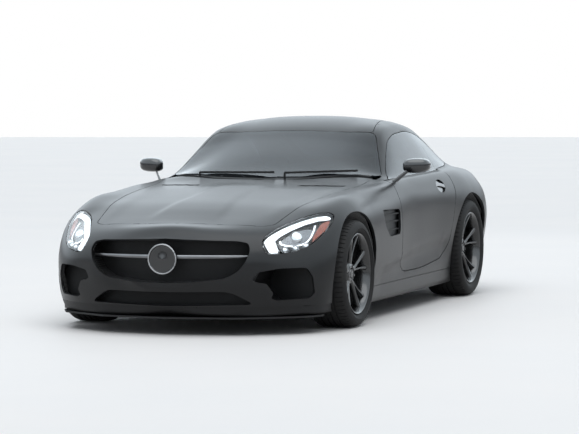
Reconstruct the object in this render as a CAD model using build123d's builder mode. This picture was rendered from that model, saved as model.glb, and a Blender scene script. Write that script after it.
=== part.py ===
"""A low two-seat sports coupe with a long bonnet, built as its real panels, glass, running gear and cabin.

Millimetres. +Z is up, the car faces -Y, +X is its left side. The origin is on the ground under the middle of the body.
"""

import math
import os

from build123d import *

# Driving dimensions
LENGTH = 4546.0
WHEELBASE = 2630.0
FRONT_AXLE_Y = -1343.0
REAR_AXLE_Y = FRONT_AXLE_Y + WHEELBASE
SKIN = 24.0  # thickness of an outer panel with its inner frame
GLASS = 5.0
SHUT_GAP = 6.0  # between a moving panel and its neighbours
SEAT_GAP = 0.3  # between pieces that are laid together

# Wheels: one row for each axle
FRONT_TRACK_HALF = 822.0
REAR_TRACK_HALF = 810.0
FRONT_TYRE_RADIUS = 334.0
REAR_TYRE_RADIUS = 343.0
RIM_RADIUS = 241.0
FRONT_ARCH_RADIUS = 388.0
REAR_ARCH_RADIUS = 396.0
FRONT_ARCH_INNER_X = 500.0  # how far inboard a wheel arch reaches
REAR_ARCH_INNER_X = 640.0
LINER = 6.0  # thickness of a wheel arch liner
KINGPIN_X = 752.0
SPINDLE_RADIUS = 25.0
PIN_RADIUS = 12.0
RUNNING_CLEARANCE = 0.05

# Door, in side view
DOOR_INNER_X = 745.0
DOOR_TAPER = 8.0  # degrees
BELT_FRONT = (-305.0, 878.0)  # y, z of the line along the door's top
BELT_REAR = (972.0, 908.0)
HINGE_PIN_RADIUS = 9.0

# Floor
FLOOR_BOTTOM = 124.0
FLOOR_TOP = 160.0

# Half sections of the body along Y, each point as x, z, from the bottom edge to the middle of the roof
BODY_SECTIONS = [
    # y, bottom, widest, shoulder, haunch, crest, belt, rail, roof, z in the middle
    (-2273, 110, 300, 190, 335, 212, 400, 212, 440, 200, 480, 170, 512, 120, 530, 60, 540, 544),
    (-2230, 110, 222, 275, 320, 306, 410, 306, 450, 285, 495, 230, 535, 150, 558, 75, 570, 574),
    (-2195, 120, 152, 395, 315, 418, 415, 416, 450, 390, 495, 319, 550, 220, 578, 100, 590, 594),
    (-2120, 400, 113, 552, 300, 566, 420, 562, 460, 535, 515, 460, 568, 300, 620, 140, 644, 652),
    (-2000, 650, 115, 742, 310, 735, 430, 718, 475, 680, 535, 590, 602, 440, 645, 200, 664, 670),
    (-1850, 820, 117, 856, 340, 850, 450, 826, 520, 775, 580, 680, 645, 480, 684, 220, 699, 704),
    (-1560, 880, 118, 955, 420, 948, 570, 905, 668, 805, 735, 660, 750, 480, 757, 240, 766, 770),
    (-1343, 885, 119, 962, 500, 950, 670, 900, 750, 822, 795, 660, 786, 480, 790, 240, 798, 802),
    (-1000, 885, 120, 949, 490, 938, 685, 895, 770, 836, 819, 660, 822, 500, 832, 250, 841, 844),
    (-540, 885, 120, 930, 470, 920, 695, 893, 770, 847, 846, 745, 856, 560, 868, 300, 884, 892),
    (-420, 885, 120, 924, 472, 915, 698, 890, 775, 846, 848, 782, 868, 655, 885, 380, 925, 938),
    (-191, 885, 120, 912, 480, 906, 705, 884, 785, 843, 862, 790, 881, 712, 915, 420, 1015, 1045),
    (20, 885, 121, 907, 485, 901, 715, 882, 792, 841, 868, 795, 886, 668, 1045, 390, 1115, 1140),
    (200, 885, 121, 907, 500, 902, 720, 882, 795, 843, 874, 797, 890, 612, 1168, 352, 1205, 1222),
    (520, 885, 122, 912, 520, 908, 728, 884, 804, 844, 881, 798, 898, 598, 1220, 342, 1272, 1288),
    (900, 882, 123, 936, 555, 928, 735, 895, 820, 845, 888, 792, 906, 595, 1203, 335, 1248, 1263),
    (1287, 878, 126, 969, 590, 948, 745, 902, 840, 840, 892, 765, 918, 580, 1105, 335, 1134, 1144),
    (1620, 868, 131, 960, 590, 932, 745, 880, 830, 805, 885, 705, 915, 532, 985, 325, 1012, 1024),
    (1850, 840, 140, 902, 540, 885, 700, 845, 780, 770, 866, 645, 896, 487, 928, 312, 950, 960),
    (2060, 640, 152, 742, 450, 738, 620, 715, 720, 650, 805, 560, 856, 445, 884, 300, 902, 911),
    (2150, 480, 168, 588, 420, 600, 590, 580, 690, 520, 775, 450, 828, 360, 858, 240, 876, 884),
    (2215, 150, 285, 400, 400, 460, 560, 440, 660, 395, 735, 340, 785, 250, 820, 130, 842, 850),
    (2273, 90, 470, 180, 500, 205, 545, 205, 590, 195, 625, 170, 645, 120, 660, 60, 668, 670),
]
# Which way each point of a section moves when the surface is moved inwards, in x and z
INWARDS = [(-1, 1), (-1, 0), (-1, -0.2), (-0.9, -0.5), (-0.7, -0.8), (-0.7, -0.7), (-0.6, -0.8), (-0.2, -1)]

# Plan outlines of the panels, left half, nose to tail
BONNET = [(0, -2000), (300, -1988), (520, -1940), (585, -1880), (640, -1480), (665, -1260), (688, -1000)]
BONNET += [(708, -700), (722, -420), (726, -332), (680, -345), (560, -428), (330, -525), (0, -570)]
SCREEN = [(0, -525), (330, -478), (560, -370), (742, -200), (577, 190), (300, 148), (0, 135)]
ROOF = [(0, 135), (300, 148), (560, 190), (505, 500), (470, 795)]
HATCH = [(464, 795), (505, 1000), (512, 1300), (500, 1700), (440, 1960), (425, 2400)]
REAR_GLASS = [(400, 860), (440, 1000), (440, 1300), (420, 1640), (380, 1740), (0, 1760)]
PLENUM = [(0, -600), (330, -556), (560, -460), (700, -370), (745, -340), (745, -195), (700, -150), (0, -300)]
COWL = [(0, -548), (330, -500), (480, -425), (600, -332), (686, -276), (686, -228), (600, -240), (0, -380)]
DASHBOARD = [(0, -379), (600, -239), (686, -227), (686, -208), (725, -208), (725, 90)]
SPLITTER = [(0, -2200), (440, -2130), (785, -1915), (850, -1790), (850, -1740)]
HATCH_BOTTOM_Z = 712.0
HATCH_FRONT_Y = 812.0
# Side outlines, (y, z)
DOOR = [(-305, 268), (208, 268), (652, 305), (800, 370), (868, 560), (905, 660), (950, 745), (972, 830)]
DOOR += [(972, 930), (-305, 930)]
SIDE_WINDOW = [(-215, 800), (-165, 890), (20, 1012), (200, 1122), (390, 1168), (700, 1184), (950, 1150)]
SIDE_WINDOW += [(1200, 1060), (1390, 968), (1370, 945), (1250, 930), (985, 918), (930, 800)]
DOOR_GLASS_REAR_Y = 925.0
FRONT_BUMPER = [(-2500, 0), (-2500, 800), (-1830, 800), (-1830, 654), (-1478, 654), (-1478, 0)]
REAR_BUMPER = [(2500, 0), (2500, 712), (1850, 712), (1680, 560), (1600, 0)]
VENT = [(-772, 703), (-352, 692), (-368, 529), (-640, 524), (-752, 600)]
# Openings of the nose and tail seen end on, (x, z)
HEADLAMP = [(560, 582), (600, 488), (690, 497), (750, 509), (812, 545), (868, 640), (862, 705), (826, 723)]
HEADLAMP += [(772, 719), (690, 692), (619, 648)]
GRILLE = [(0, 588), (440, 573), (500, 560), (517, 515), (500, 455), (456, 392), (374, 348), (180, 328), (0, 323)]
SIDE_INTAKE = [(556, 385), (680, 408), (805, 408), (832, 350), (835, 250), (795, 207), (590, 203), (530, 262)]
SIDE_INTAKE += [(525, 320)]
LOWER_INTAKE = [(0, 268), (400, 270), (530, 190), (0, 180)]
TAIL_LAMP = [(432, 716), (800, 706), (868, 700), (885, 735), (860, 778), (600, 772), (432, 764)]
EXHAUST = [(450, 188), (606, 196), (592, 268), (462, 268)]


def body(inset):
    """The whole body's volume with every surface moved inwards by inset."""
    with BuildPart() as made:
        for y, *values in BODY_SECTIONS:
            half = [
                (values[2 * i] + across * inset, values[2 * i + 1] + up * inset)
                for i, (across, up) in enumerate(INWARDS)
            ]
            top = [(0, values[-1] - inset)]
            with BuildSketch(Plane.XZ.offset(-y * (1 - 2 * inset / LENGTH))):
                with BuildLine():
                    Polyline(half + top + [(-x, z) for x, z in reversed(half)], close=True)
                make_face()
        loft(ruled=True)
    return made.part


def rounded_outline(corners, share):
    """Draws a closed polygon in the open BuildLine, each corner an arc that takes a share of its sides."""
    points = [Vector(x, y) for x, y in corners]
    arcs = []
    for index, point in enumerate(points):
        before = points[index - 1] - point
        after = points[(index + 1) % len(points)] - point
        trim = share * min(before.length, after.length)
        half_angle = math.radians(before.get_angle(after)) / 2
        inward = (before.normalized() + after.normalized()).normalized()
        start = point + before.normalized() * trim
        middle = point + inward * trim * (1 / math.cos(half_angle) - math.tan(half_angle))
        end = point + after.normalized() * trim
        arcs.append((start, middle, end))
    for index, (start, middle, end) in enumerate(arcs):
        ThreePointArc(start, middle, end)
        Line(end, arcs[(index + 1) % len(arcs)][0])


def grown(outline, amount):
    """The polygon with every side moved outwards by amount."""
    turn = sum(a[0] * b[1] - b[0] * a[1] for a, b in zip(outline, outline[1:] + outline[:1]))
    side = 1 if turn > 0 else -1
    corners = []
    for index, (x, y) in enumerate(outline):
        into = (Vector(x, y) - Vector(*outline[index - 1])).normalized()
        out = (Vector(*outline[(index + 1) % len(outline)]) - Vector(x, y)).normalized()
        first = Vector(into.Y, -into.X) * side
        second = Vector(out.Y, -out.X) * side
        shift = (first + second) * (amount / (1 + first.dot(second)))
        corners.append((x + shift.X, y + shift.Y))
    return corners


def both_sides(outline):
    """A closed outline from its left half."""
    return [(x, y) for x, y in outline if x > 1 or outline.index((x, y)) in (0, len(outline) - 1)] + [
        (-x, y) for x, y in reversed(outline) if x > 1
    ]


def prism(plane, outline, length, share=0.0, taper=0.0):
    """The outline, drawn on the plane, extruded by length."""
    with BuildPart() as made:
        with BuildSketch(plane):
            with BuildLine():
                if share:
                    rounded_outline(outline, share)
                else:
                    Polyline(outline, close=True)
            make_face()
        extrude(amount=length, taper=taper)
    return made.part


def side_prism(outline, x_low, x_high, share=0.0):
    """A block whose side view is the outline of (y, z) corners."""
    return prism(Plane.YZ.offset(x_low), outline, x_high - x_low, share)


def plan_prism(outline, z_low, z_high, share=0.0):
    """A block whose plan is the outline of (x, y) corners."""
    return prism(Plane.XY.offset(z_low), outline, z_high - z_low, share)


def front_prism(outline, y_low, y_high, share=0.0):
    """A block whose front view is the outline of (x, z) corners."""
    return prism(Plane.XZ.offset(-y_high), outline, y_high - y_low, share)


def tapered_side_prism(outline, x_low, x_high):
    """A side prism that narrows inboard, so that what fills it can swing out."""
    return prism(Plane.YZ.offset(x_high), outline, -(x_high - x_low), taper=DOOR_TAPER)


def block(x_range, y_range, z_range):
    """A plain block between the given limits."""
    size = [high - low for low, high in (x_range, y_range, z_range)]
    centre = tuple((high + low) / 2 for low, high in (x_range, y_range, z_range))
    with BuildPart() as made:
        with Locations(centre):
            Box(*size)
    return made.part


def rod(start, end, radius):
    """A round bar between two points."""
    line = Vector(*end) - Vector(*start)
    with BuildPart() as made:
        with BuildSketch(Plane(origin=start, z_dir=line)):
            Circle(radius)
        extrude(amount=line.length)
    return made.part


def flat_bar(start, end, width, height, across=(1, 0, 0)):
    """A bar of rectangular section between two points, its width along across."""
    line = Vector(*end) - Vector(*start)
    with BuildPart() as made:
        with BuildSketch(Plane(origin=start, x_dir=across, z_dir=line)):
            Rectangle(width, height)
        extrude(amount=line.length)
    return made.part


def arch_cylinder(axle_y, axle_z, radius, x_low, x_high=1100.0):
    """The room of a wheel on the left side."""
    return rod((x_low, axle_y, axle_z), (x_high, axle_y, axle_z), radius)


def mirrored(shape):
    return mirror(shape, about=Plane.YZ)


def twice(shape):
    """The shape with its mirror image on the right side, for cutting both sides at once."""
    return [shape, mirrored(shape)]


def panel(zone, inside, cuts):
    """The skin of the body within a zone, from its outer surface to the inside volume, without the cuts."""
    return ((outer & zone) - inside) - cuts


def save(solids, name):
    shape = Compound(children=list(solids), label=name)
    export_step(shape, f"parts/{name}.step")


os.makedirs("parts", exist_ok=True)

# Volumes bounded by the outer surface and by surfaces moved in from it
outer = body(0)
clear_of_outer = body(-SEAT_GAP)
inner = body(SKIN)
hollow = body(SKIN + SEAT_GAP)
behind_glass = body(GLASS)
under_glass = body(GLASS + SEAT_GAP)

bonnet_zone = plan_prism(both_sides(BONNET), 600, 1000)
screen_zone = plan_prism(both_sides(SCREEN), 840, 1400)
roof_zone = plan_prism(both_sides(ROOF), 1100, 1400)
hatch_zone = plan_prism(both_sides(HATCH), HATCH_BOTTOM_Z, 1400)
rear_glass_zone = plan_prism(both_sides(REAR_GLASS), 800, 1400, 0.1)
plenum_zone = plan_prism(both_sides(PLENUM), 700, 1000)
front_arch = arch_cylinder(FRONT_AXLE_Y, FRONT_TYRE_RADIUS, FRONT_ARCH_RADIUS, FRONT_ARCH_INNER_X)
rear_arch = arch_cylinder(REAR_AXLE_Y, REAR_TYRE_RADIUS, REAR_ARCH_RADIUS, REAR_ARCH_INNER_X)
front_bumper_zone = side_prism(FRONT_BUMPER, -1100, 1100)
front_bumper_cut = side_prism(grown(FRONT_BUMPER, SEAT_GAP), -1100, 1100)
rear_bumper_zone = side_prism(REAR_BUMPER, -1100, 1100)
rear_bumper_cut = side_prism(grown(REAR_BUMPER, SEAT_GAP), -1100, 1100)
sill_zone = block((780, 1100), (-960, 960), (0, 222))
sill_cut = block((780 - SEAT_GAP, 1100), (-960 - SEAT_GAP, 960 + SEAT_GAP), (0, 222 + SEAT_GAP))
floor_cut = block((-780, 780), (-1700, 1720), (0, FLOOR_TOP + SEAT_GAP))
headlamp_zone = front_prism(HEADLAMP, -2150, -1480, 0.1)
headlamp_cut = front_prism(grown(HEADLAMP, SEAT_GAP), -2150, -1480, 0.1)
tail_lamp_zone = front_prism(TAIL_LAMP, 1700, 2400, 0.1)
tail_lamp_cut = front_prism(grown(TAIL_LAMP, SEAT_GAP), 1700, 2400, 0.1)
door_zone = tapered_side_prism(grown(DOOR, 12 - SHUT_GAP), DOOR_INNER_X, 1000)
door_cut = tapered_side_prism(grown(DOOR, 12), DOOR_INNER_X - SHUT_GAP, 1000)
above_belt = side_prism(
    [BELT_FRONT, BELT_REAR, (BELT_REAR[0] + 100, BELT_REAR[1]), (1100, 1400), (-500, 1400), (-500, BELT_FRONT[1])],
    300, 1100)
window_cut = side_prism(grown(SIDE_WINDOW, SHUT_GAP), 400, 1000)
pillar_foot = block((700, 802), (-420, -185), (850, 1000))

# Room swept by the door's front edge about its hinge
HINGE_X = 882.0
HINGE_Y = -280.0
HINGE_SWEEP = [(264, 36), (330, 40), (480, 46), (600, 44), (720, 38), (800, 30), (900, 30)]  # z, radius
with BuildPart() as door_sweep:
    with BuildSketch(Plane.XZ.offset(-HINGE_Y)):
        with BuildLine():
            Polyline(
                [(HINGE_X, HINGE_SWEEP[0][0])] + [(HINGE_X + r, z) for z, r in HINGE_SWEEP]
                + [(HINGE_X, HINGE_SWEEP[-1][0])], close=True
            )
        make_face()
    revolve(axis=Axis((HINGE_X, HINGE_Y, 0), (0, 0, 1)))

# Outer panels
STRIP_Z = 262.0  # top of the strip of side frame under the door's front corner
bonnet_skin = panel(plan_prism(grown(both_sides(BONNET), -SHUT_GAP), 600, 1000), inner, [])
TOW_EYE = (-440.0, 312.0)  # x, z
bumper_openings = [
    front_prism(both_sides(GRILLE), -2400, -1900, 0.1), *twice(front_prism(SIDE_INTAKE, -2400, -1700, 0.1)),
    front_prism(both_sides(LOWER_INTAKE), -2400, -1900, 0.05),
]
front_bumper = panel(
    front_bumper_zone, inner,
    [bonnet_zone, *twice(front_arch), *twice(headlamp_cut), floor_cut, *bumper_openings])
tow_boss = rod((TOW_EYE[0], -2200, TOW_EYE[1]), (TOW_EYE[0], -2095, TOW_EYE[1]), 18) & outer
tow_bore = rod((TOW_EYE[0], -2300, TOW_EYE[1]), (TOW_EYE[0], -2115, TOW_EYE[1]), 11)
front_bumper = front_bumper + tow_boss - tow_bore
headlamp = panel(headlamp_zone, inner, [bonnet_zone])
wing = panel(
    block((0, 1100), (-2100, -290), (0, 1000)), inner,
    [block((0, 802), (-311, -280), (0, 1000)), block((0, 1100), (-311, -280), (0, STRIP_Z)), bonnet_zone,
     front_bumper_cut, front_arch, headlamp_cut, plenum_zone, door_cut, door_sweep.part, sill_cut, floor_cut,
     side_prism(VENT, 850, 1000, 0.05)])
side_skin = panel(
    block((0, 1100), (-311 + SEAT_GAP, 2400), (0, 1400)), inner,
    [block((802 - SEAT_GAP, 1100), (-312, -290 + SEAT_GAP), (STRIP_Z - SEAT_GAP, 1000)), screen_zone, roof_zone,
     hatch_zone, door_cut - pillar_foot, window_cut, rear_arch, rear_bumper_cut, sill_cut, floor_cut, tail_lamp_cut,
     plenum_zone, door_sweep.part])
sill = panel(sill_zone, inner, [front_arch, rear_arch])
roof_skin = panel(plan_prism(grown(both_sides(ROOF), -SEAT_GAP), 1100, 1400), inner, [])
hatch_skin = panel(
    plan_prism(grown(both_sides(HATCH), -SHUT_GAP), HATCH_BOTTOM_Z + SHUT_GAP, 1400), inner,
    [plan_prism(grown(both_sides(REAR_GLASS), SEAT_GAP), 800, 1400, 0.1),
     block((-600, 600), (700, HATCH_FRONT_Y), (1000, 1400))])
rear_bumper = panel(
    rear_bumper_zone, inner,
    [*twice(rear_arch), floor_cut, *twice(tail_lamp_cut), *twice(front_prism(EXHAUST, 2000, 2400, 0.2))])
tail_lamp = panel(tail_lamp_zone, inner, [hatch_zone])
door_skin = (outer & door_zone) - [block((700, 808), (-420, -179), (844, 1000)), above_belt]

# Glass
windscreen = panel(plan_prism(grown(both_sides(SCREEN), -SEAT_GAP), 840, 1400), behind_glass, [])
rear_window = panel(rear_glass_zone, behind_glass, [])
above_door = side_prism(
    [(BELT_FRONT[0], BELT_FRONT[1] + SEAT_GAP), (BELT_REAR[0], BELT_REAR[1] + SEAT_GAP), (BELT_REAR[0], 1400),
     (BELT_FRONT[0], 1400)], 300, 1100)
door_glass = panel(
    side_prism(SIDE_WINDOW, 400, 1000), behind_glass,
    [block((300, 1000), (DOOR_GLASS_REAR_Y, 1500), (700, 1300))]) & above_door
quarter_glass = panel(
    side_prism(grown(SIDE_WINDOW, SHUT_GAP - SEAT_GAP), 400, 1000), behind_glass,
    [block((300, 1000), (-400, DOOR_GLASS_REAR_Y + SHUT_GAP), (700, 1300))])
quarter_glass = quarter_glass & block((300, 1000), (900, 1500), (912, 1300))

# Running gear, left side; the right side is its mirror image
SPINDLE_BORE = SPINDLE_RADIUS + RUNNING_CLEARANCE
DISC_RADIUS = 193.0
SPOKE_PAIRS = 5
FRONT_RIM_HALF = 121.0
REAR_RIM_HALF = 135.0


def revolved_about_axle(profile, axle_y, axle_z, arc=360.0, start=0.0):
    """A ring about the axle from a profile of (x, radius) corners."""
    with BuildPart() as made:
        with BuildSketch(Plane.XY):
            with BuildLine():
                Polyline(profile, close=True)
            make_face()
        revolve(axis=Axis.X, revolution_arc=arc)
    return made.part.rotate(Axis.X, start).moved(Location((0, axle_y, axle_z)))


def rim(axle_y, axle_z, middle_x, half_width):
    """Wheel rim with paired spokes, its hub, and the brake disc bolted to the hub."""
    low, high = middle_x - half_width, middle_x + half_width
    barrel = [(low, RIM_RADIUS + 12), (low + 10, RIM_RADIUS + 12), (low + 14, RIM_RADIUS)]
    barrel += [(high - 14, RIM_RADIUS), (high - 10, RIM_RADIUS + 12), (high, RIM_RADIUS + 12)]
    barrel += [(high, RIM_RADIUS + 2), (high - 18, RIM_RADIUS - 13), (low + 14, RIM_RADIUS - 12)]
    barrel += [(low, RIM_RADIUS + 2)]
    hub = [(middle_x - 35, SPINDLE_BORE), (middle_x + 66, SPINDLE_BORE), (middle_x + 66, 0), (middle_x + 80, 0)]
    hub += [(middle_x + 80, 34), (middle_x + 74, 62), (middle_x + 46, 74), (middle_x + 20, 88), (middle_x - 7, 92)]
    hub += [(middle_x - 7, DISC_RADIUS), (middle_x - 35, DISC_RADIUS), (middle_x - 35, 80)]
    with BuildPart() as spoke:
        with BuildSketch(Plane(origin=(middle_x + 58, 0, 56), x_dir=(1, 0, 0), z_dir=(0, 0, 1))):
            Rectangle(34, 27)
        with BuildSketch(Plane(origin=(high - 24, 34, RIM_RADIUS - 9), x_dir=(1, 0, 0), z_dir=(0, 0, 1))):
            Rectangle(24, 17)
        loft()
    with BuildPart() as made:
        add(revolved_about_axle(barrel, 0, 0))
        add(revolved_about_axle(hub, 0, 0))
        for pair in range(SPOKE_PAIRS):
            middle = pair * 360.0 / SPOKE_PAIRS
            add(spoke.part.rotate(Axis.X, middle + 4))
            add(mirror(spoke.part, about=Plane.XZ).rotate(Axis.X, middle - 4))
    return made.part.moved(Location((0, axle_y, axle_z)))


def tyre(axle_y, axle_z, middle_x, half_width, radius):
    """Low tyre with round shoulders, its beads laid on the rim."""
    bead = RIM_RADIUS + SEAT_GAP
    half_bead = half_width - 14 - SEAT_GAP
    outside = [(half_bead, bead), (half_bead, bead + 14), (half_width + 8, bead + 30)]
    outside += [(half_width + 14, radius - 40), (half_width, radius - 14), (half_width - 26, radius - 2), (30, radius)]
    inside = [(half_bead - 36, radius - 20), (half_bead - 10, radius - 34), (half_bead - 16, bead + 20)]
    inside += [(half_bead - 24, bead)]
    profile = [(-x, r) for x, r in outside] + outside[::-1] + inside[::-1] + [(-x, r) for x, r in inside]
    return revolved_about_axle([(middle_x + x, r) for x, r in profile], axle_y, axle_z)


def upright(axle_y, axle_z, middle_x, start):
    """Wheel carrier with its spindle and the brake caliper bolted to it."""
    face = middle_x - 44
    caliper = [(face - 16, 20), (face, 20), (face, 201), (middle_x + 4, 201), (middle_x + 4, 128), (middle_x + 22, 128)]
    caliper += [(middle_x + 22, 221), (face - 16, 221)]
    with BuildPart() as made:
        add(revolved_about_axle(caliper, axle_y, axle_z, 52.0, start))
        add(block((face - 44, face), (axle_y - 35, axle_y + 35), (axle_z - 94, axle_z + 130)))
        add(rod((face - 10, axle_y, axle_z), (middle_x + 60, axle_y, axle_z), SPINDLE_RADIUS))
    return made.part


rim_front = rim(FRONT_AXLE_Y, FRONT_TYRE_RADIUS, FRONT_TRACK_HALF, FRONT_RIM_HALF)
tyre_front = tyre(FRONT_AXLE_Y, FRONT_TYRE_RADIUS, FRONT_TRACK_HALF, FRONT_RIM_HALF, FRONT_TYRE_RADIUS)
rim_rear = rim(REAR_AXLE_Y, REAR_TYRE_RADIUS, REAR_TRACK_HALF, REAR_RIM_HALF)
tyre_rear = tyre(REAR_AXLE_Y, REAR_TYRE_RADIUS, REAR_TRACK_HALF, REAR_RIM_HALF, REAR_TYRE_RADIUS)

# Front knuckle turns on two upright pins between the arms
ARM_LOW_Z = FRONT_TYRE_RADIUS - 99.0
ARM_HIGH_Z = FRONT_TYRE_RADIUS + 136.0
ARM_THICKNESS = 24.0
PIN_REACH = 20.0  # how far each pin runs into the knuckle
with BuildPart() as knuckle:
    add(upright(FRONT_AXLE_Y, FRONT_TYRE_RADIUS, FRONT_TRACK_HALF, 154.0))
    for z_low, z_high in ((ARM_LOW_Z - ARM_THICKNESS, ARM_LOW_Z + PIN_REACH), (ARM_HIGH_Z - PIN_REACH, ARM_HIGH_Z + ARM_THICKNESS)):
        add(rod((KINGPIN_X, FRONT_AXLE_Y, z_low), (KINGPIN_X, FRONT_AXLE_Y, z_high), PIN_RADIUS))


def arm(axle_y, z, tip_x, root_x, spread):
    """Flat suspension arm, wide inboard, with an eye at its outer end."""
    with BuildPart() as made:
        with BuildSketch(Plane.XY.offset(z)):
            with BuildLine():
                Polyline([(root_x, axle_y - spread), (tip_x - 110, axle_y - 26), (tip_x, axle_y - 26),
                          (tip_x, axle_y + 26), (tip_x - 110, axle_y + 26), (root_x, axle_y + spread)], close=True)
            make_face()
            with Locations((tip_x, axle_y)):
                Circle(26)
        extrude(amount=ARM_THICKNESS)
    return made.part


TOWER_X = 420.0
kingpin_bore = rod((KINGPIN_X, FRONT_AXLE_Y, 100), (KINGPIN_X, FRONT_AXLE_Y, 600), PIN_RADIUS + RUNNING_CLEARANCE)
with BuildPart() as front_side:
    add(arm(FRONT_AXLE_Y, ARM_LOW_Z - ARM_THICKNESS, KINGPIN_X, TOWER_X - 10, 150))
    add(arm(FRONT_AXLE_Y, ARM_HIGH_Z, KINGPIN_X, TOWER_X - 10, 110))
    add(kingpin_bore, mode=Mode.SUBTRACT)
    add(block((TOWER_X - 60, TOWER_X), (FRONT_AXLE_Y - 60, FRONT_AXLE_Y + 60), (FLOOR_TOP, ARM_HIGH_Z + 40)))
    add(block((-10, TOWER_X), (FRONT_AXLE_Y - 50, FRONT_AXLE_Y + 50), (FLOOR_TOP, FLOOR_TOP + 60)))
with BuildPart() as rear_side:
    add(arm(REAR_AXLE_Y, 225, 690, TOWER_X - 10, 150))
    add(arm(REAR_AXLE_Y, 460, 690, TOWER_X - 10, 110))
    add(block((TOWER_X - 60, TOWER_X), (REAR_AXLE_Y - 60, REAR_AXLE_Y + 60), (FLOOR_TOP, 500)))
    add(block((-10, TOWER_X), (REAR_AXLE_Y - 50, REAR_AXLE_Y + 50), (FLOOR_TOP, FLOOR_TOP + 60)))
    add(upright(REAR_AXLE_Y, REAR_TYRE_RADIUS, REAR_TRACK_HALF, -26.0))
    add(block((670, 740), (REAR_AXLE_Y - 30, REAR_AXLE_Y + 30), (225, 484)))
front_suspension = front_side.part + mirrored(front_side.part)
rear_suspension = rear_side.part + mirrored(rear_side.part)
engine_mount = block((-400, 400), (-900, -840), (FLOOR_TOP, FLOOR_TOP + 60))
engine = block((-290, 290), (-1190, -560), (FLOOR_TOP + 60 + SEAT_GAP, 640))


def wheelhouse(axle_y, axle_z, radius, inner_x):
    """Arched liner over a wheel with its inner wall, open towards the suspension."""
    shell = arch_cylinder(axle_y, axle_z, radius + LINER, inner_x - LINER, 960)
    shell = shell - [
        arch_cylinder(axle_y, axle_z, radius, inner_x, 1000),
        block((300, 1000), (axle_y - 600, axle_y + 600), (-200, FLOOR_TOP)),
        block((300, inner_x + 1), (axle_y - 190, axle_y + 190), (0, axle_z + 190)),
    ]
    return shell & hollow


front_house = wheelhouse(FRONT_AXLE_Y, FRONT_TYRE_RADIUS, FRONT_ARCH_RADIUS, FRONT_ARCH_INNER_X)
rear_house = wheelhouse(REAR_AXLE_Y, REAR_TYRE_RADIUS, REAR_ARCH_RADIUS, REAR_ARCH_INNER_X)

# Bonnet hinge: lugs under its rear corners turn on pins carried by ears of the firewall
BONNET_AXIS = (-335.0, 842.0)  # y, z
BONNET_PIN = 8.0
with BuildPart() as bonnet_lug:
    with BuildSketch(Plane.YZ.offset(672)):
        with BuildLine():
            Polyline([(-450, 864), (-350, 880), (-322, 842), (-340, 826), (-450, 846)], close=True)
        make_face()
        with Locations(BONNET_AXIS):
            Circle(15)
            Circle(BONNET_PIN + RUNNING_CLEARANCE, mode=Mode.SUBTRACT)
    extrude(amount=20)
bonnet = bonnet_skin + twice(bonnet_lug.part)
bonnet_ear = side_prism([(-430, 700), (-430, 800), (-352, 857), (-320, 857), (-320, 700)], 700, 716)
bonnet_ear = bonnet_ear + rod((668, *BONNET_AXIS), (710, *BONNET_AXIS), BONNET_PIN)

# Hatch hinge: pins on two lugs of the roof's rear edge
HATCH_AXIS = (816.0, 1255.0)
HATCH_PIN = 5.0
roof_lug = (block((40, 58), (780, 824), (1235, 1275)) & outer) + rod((50, *HATCH_AXIS), (95, *HATCH_AXIS), HATCH_PIN)
roof = roof_skin + twice(roof_lug)
hatch_pin_room = rod((50, *HATCH_AXIS), (97, *HATCH_AXIS), HATCH_PIN + RUNNING_CLEARANCE)
hatch = hatch_skin - [*twice(block((34, 64), (780, 832), (1200, 1300))), *twice(hatch_pin_room)]

# Door hinge: a pin on a bracket of the side frame stands in the door's lower front corner
hinge_bracket = block((815, 900), (HINGE_Y - 24, HINGE_Y + 24), (238, STRIP_Z)) & outer
hinge_pin = rod((HINGE_X, HINGE_Y, 250), (HINGE_X, HINGE_Y, 332), HINGE_PIN_RADIUS)
side_frame = max(side_skin.solids(), key=lambda solid: solid.volume) + [hinge_bracket, hinge_pin]
door = door_skin - rod((HINGE_X, HINGE_Y, 200), (HINGE_X, HINGE_Y, 334), HINGE_PIN_RADIUS + RUNNING_CLEARANCE)

# Floor with tunnel, bulkheads, hinge posts and load floor
FIREWALL_Y = -430.0
BULKHEAD_Y = 1030.0
WALL = 25.0
TUNNEL_HALF = 150.0
TUNNEL_TOP = 420.0
LOAD_FLOOR_Z = 600.0
POST_X = 738.0
floor_plate = block((-780 + SEAT_GAP, 780 - SEAT_GAP), (-1700 + SEAT_GAP, 1720 - SEAT_GAP), (FLOOR_BOTTOM, FLOOR_TOP))
floor_pan = floor_plate + [
    block((-TUNNEL_HALF, TUNNEL_HALF), (FIREWALL_Y, BULKHEAD_Y), (FLOOR_BOTTOM + 10, TUNNEL_TOP)),
    block((-POST_X, POST_X), (FIREWALL_Y, FIREWALL_Y + WALL), (FLOOR_BOTTOM + 10, 780)),
    block((-POST_X, POST_X), (BULKHEAD_Y, BULKHEAD_Y + WALL), (FLOOR_BOTTOM + 10, 830)),
    block((-620, 620), (BULKHEAD_Y, 2080), (LOAD_FLOOR_Z - 20, LOAD_FLOOR_Z)),
    *twice(block((POST_X - 50, POST_X), (-300, -215), (FLOOR_BOTTOM + 10, 852))),
]
LINER_ROOM = LINER + SEAT_GAP
liner_room = [
    *twice(arch_cylinder(FRONT_AXLE_Y, FRONT_TYRE_RADIUS, FRONT_ARCH_RADIUS + LINER_ROOM, FRONT_ARCH_INNER_X - LINER_ROOM)),
    *twice(arch_cylinder(REAR_AXLE_Y, REAR_TYRE_RADIUS, REAR_ARCH_RADIUS + LINER_ROOM, REAR_ARCH_INNER_X - LINER_ROOM)),
]
floor_pan = (floor_pan - liner_room) + twice(bonnet_ear)
cowl = plan_prism(both_sides(COWL), 780, 1000) & under_glass


def shroud(outline, y_front, y_back):
    """A tube behind an opening of the nose."""
    tube = front_prism(grown(outline, 9), y_front, y_back) - front_prism(grown(outline, SEAT_GAP), y_front - 10, y_back + 10)
    return tube & hollow


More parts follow.
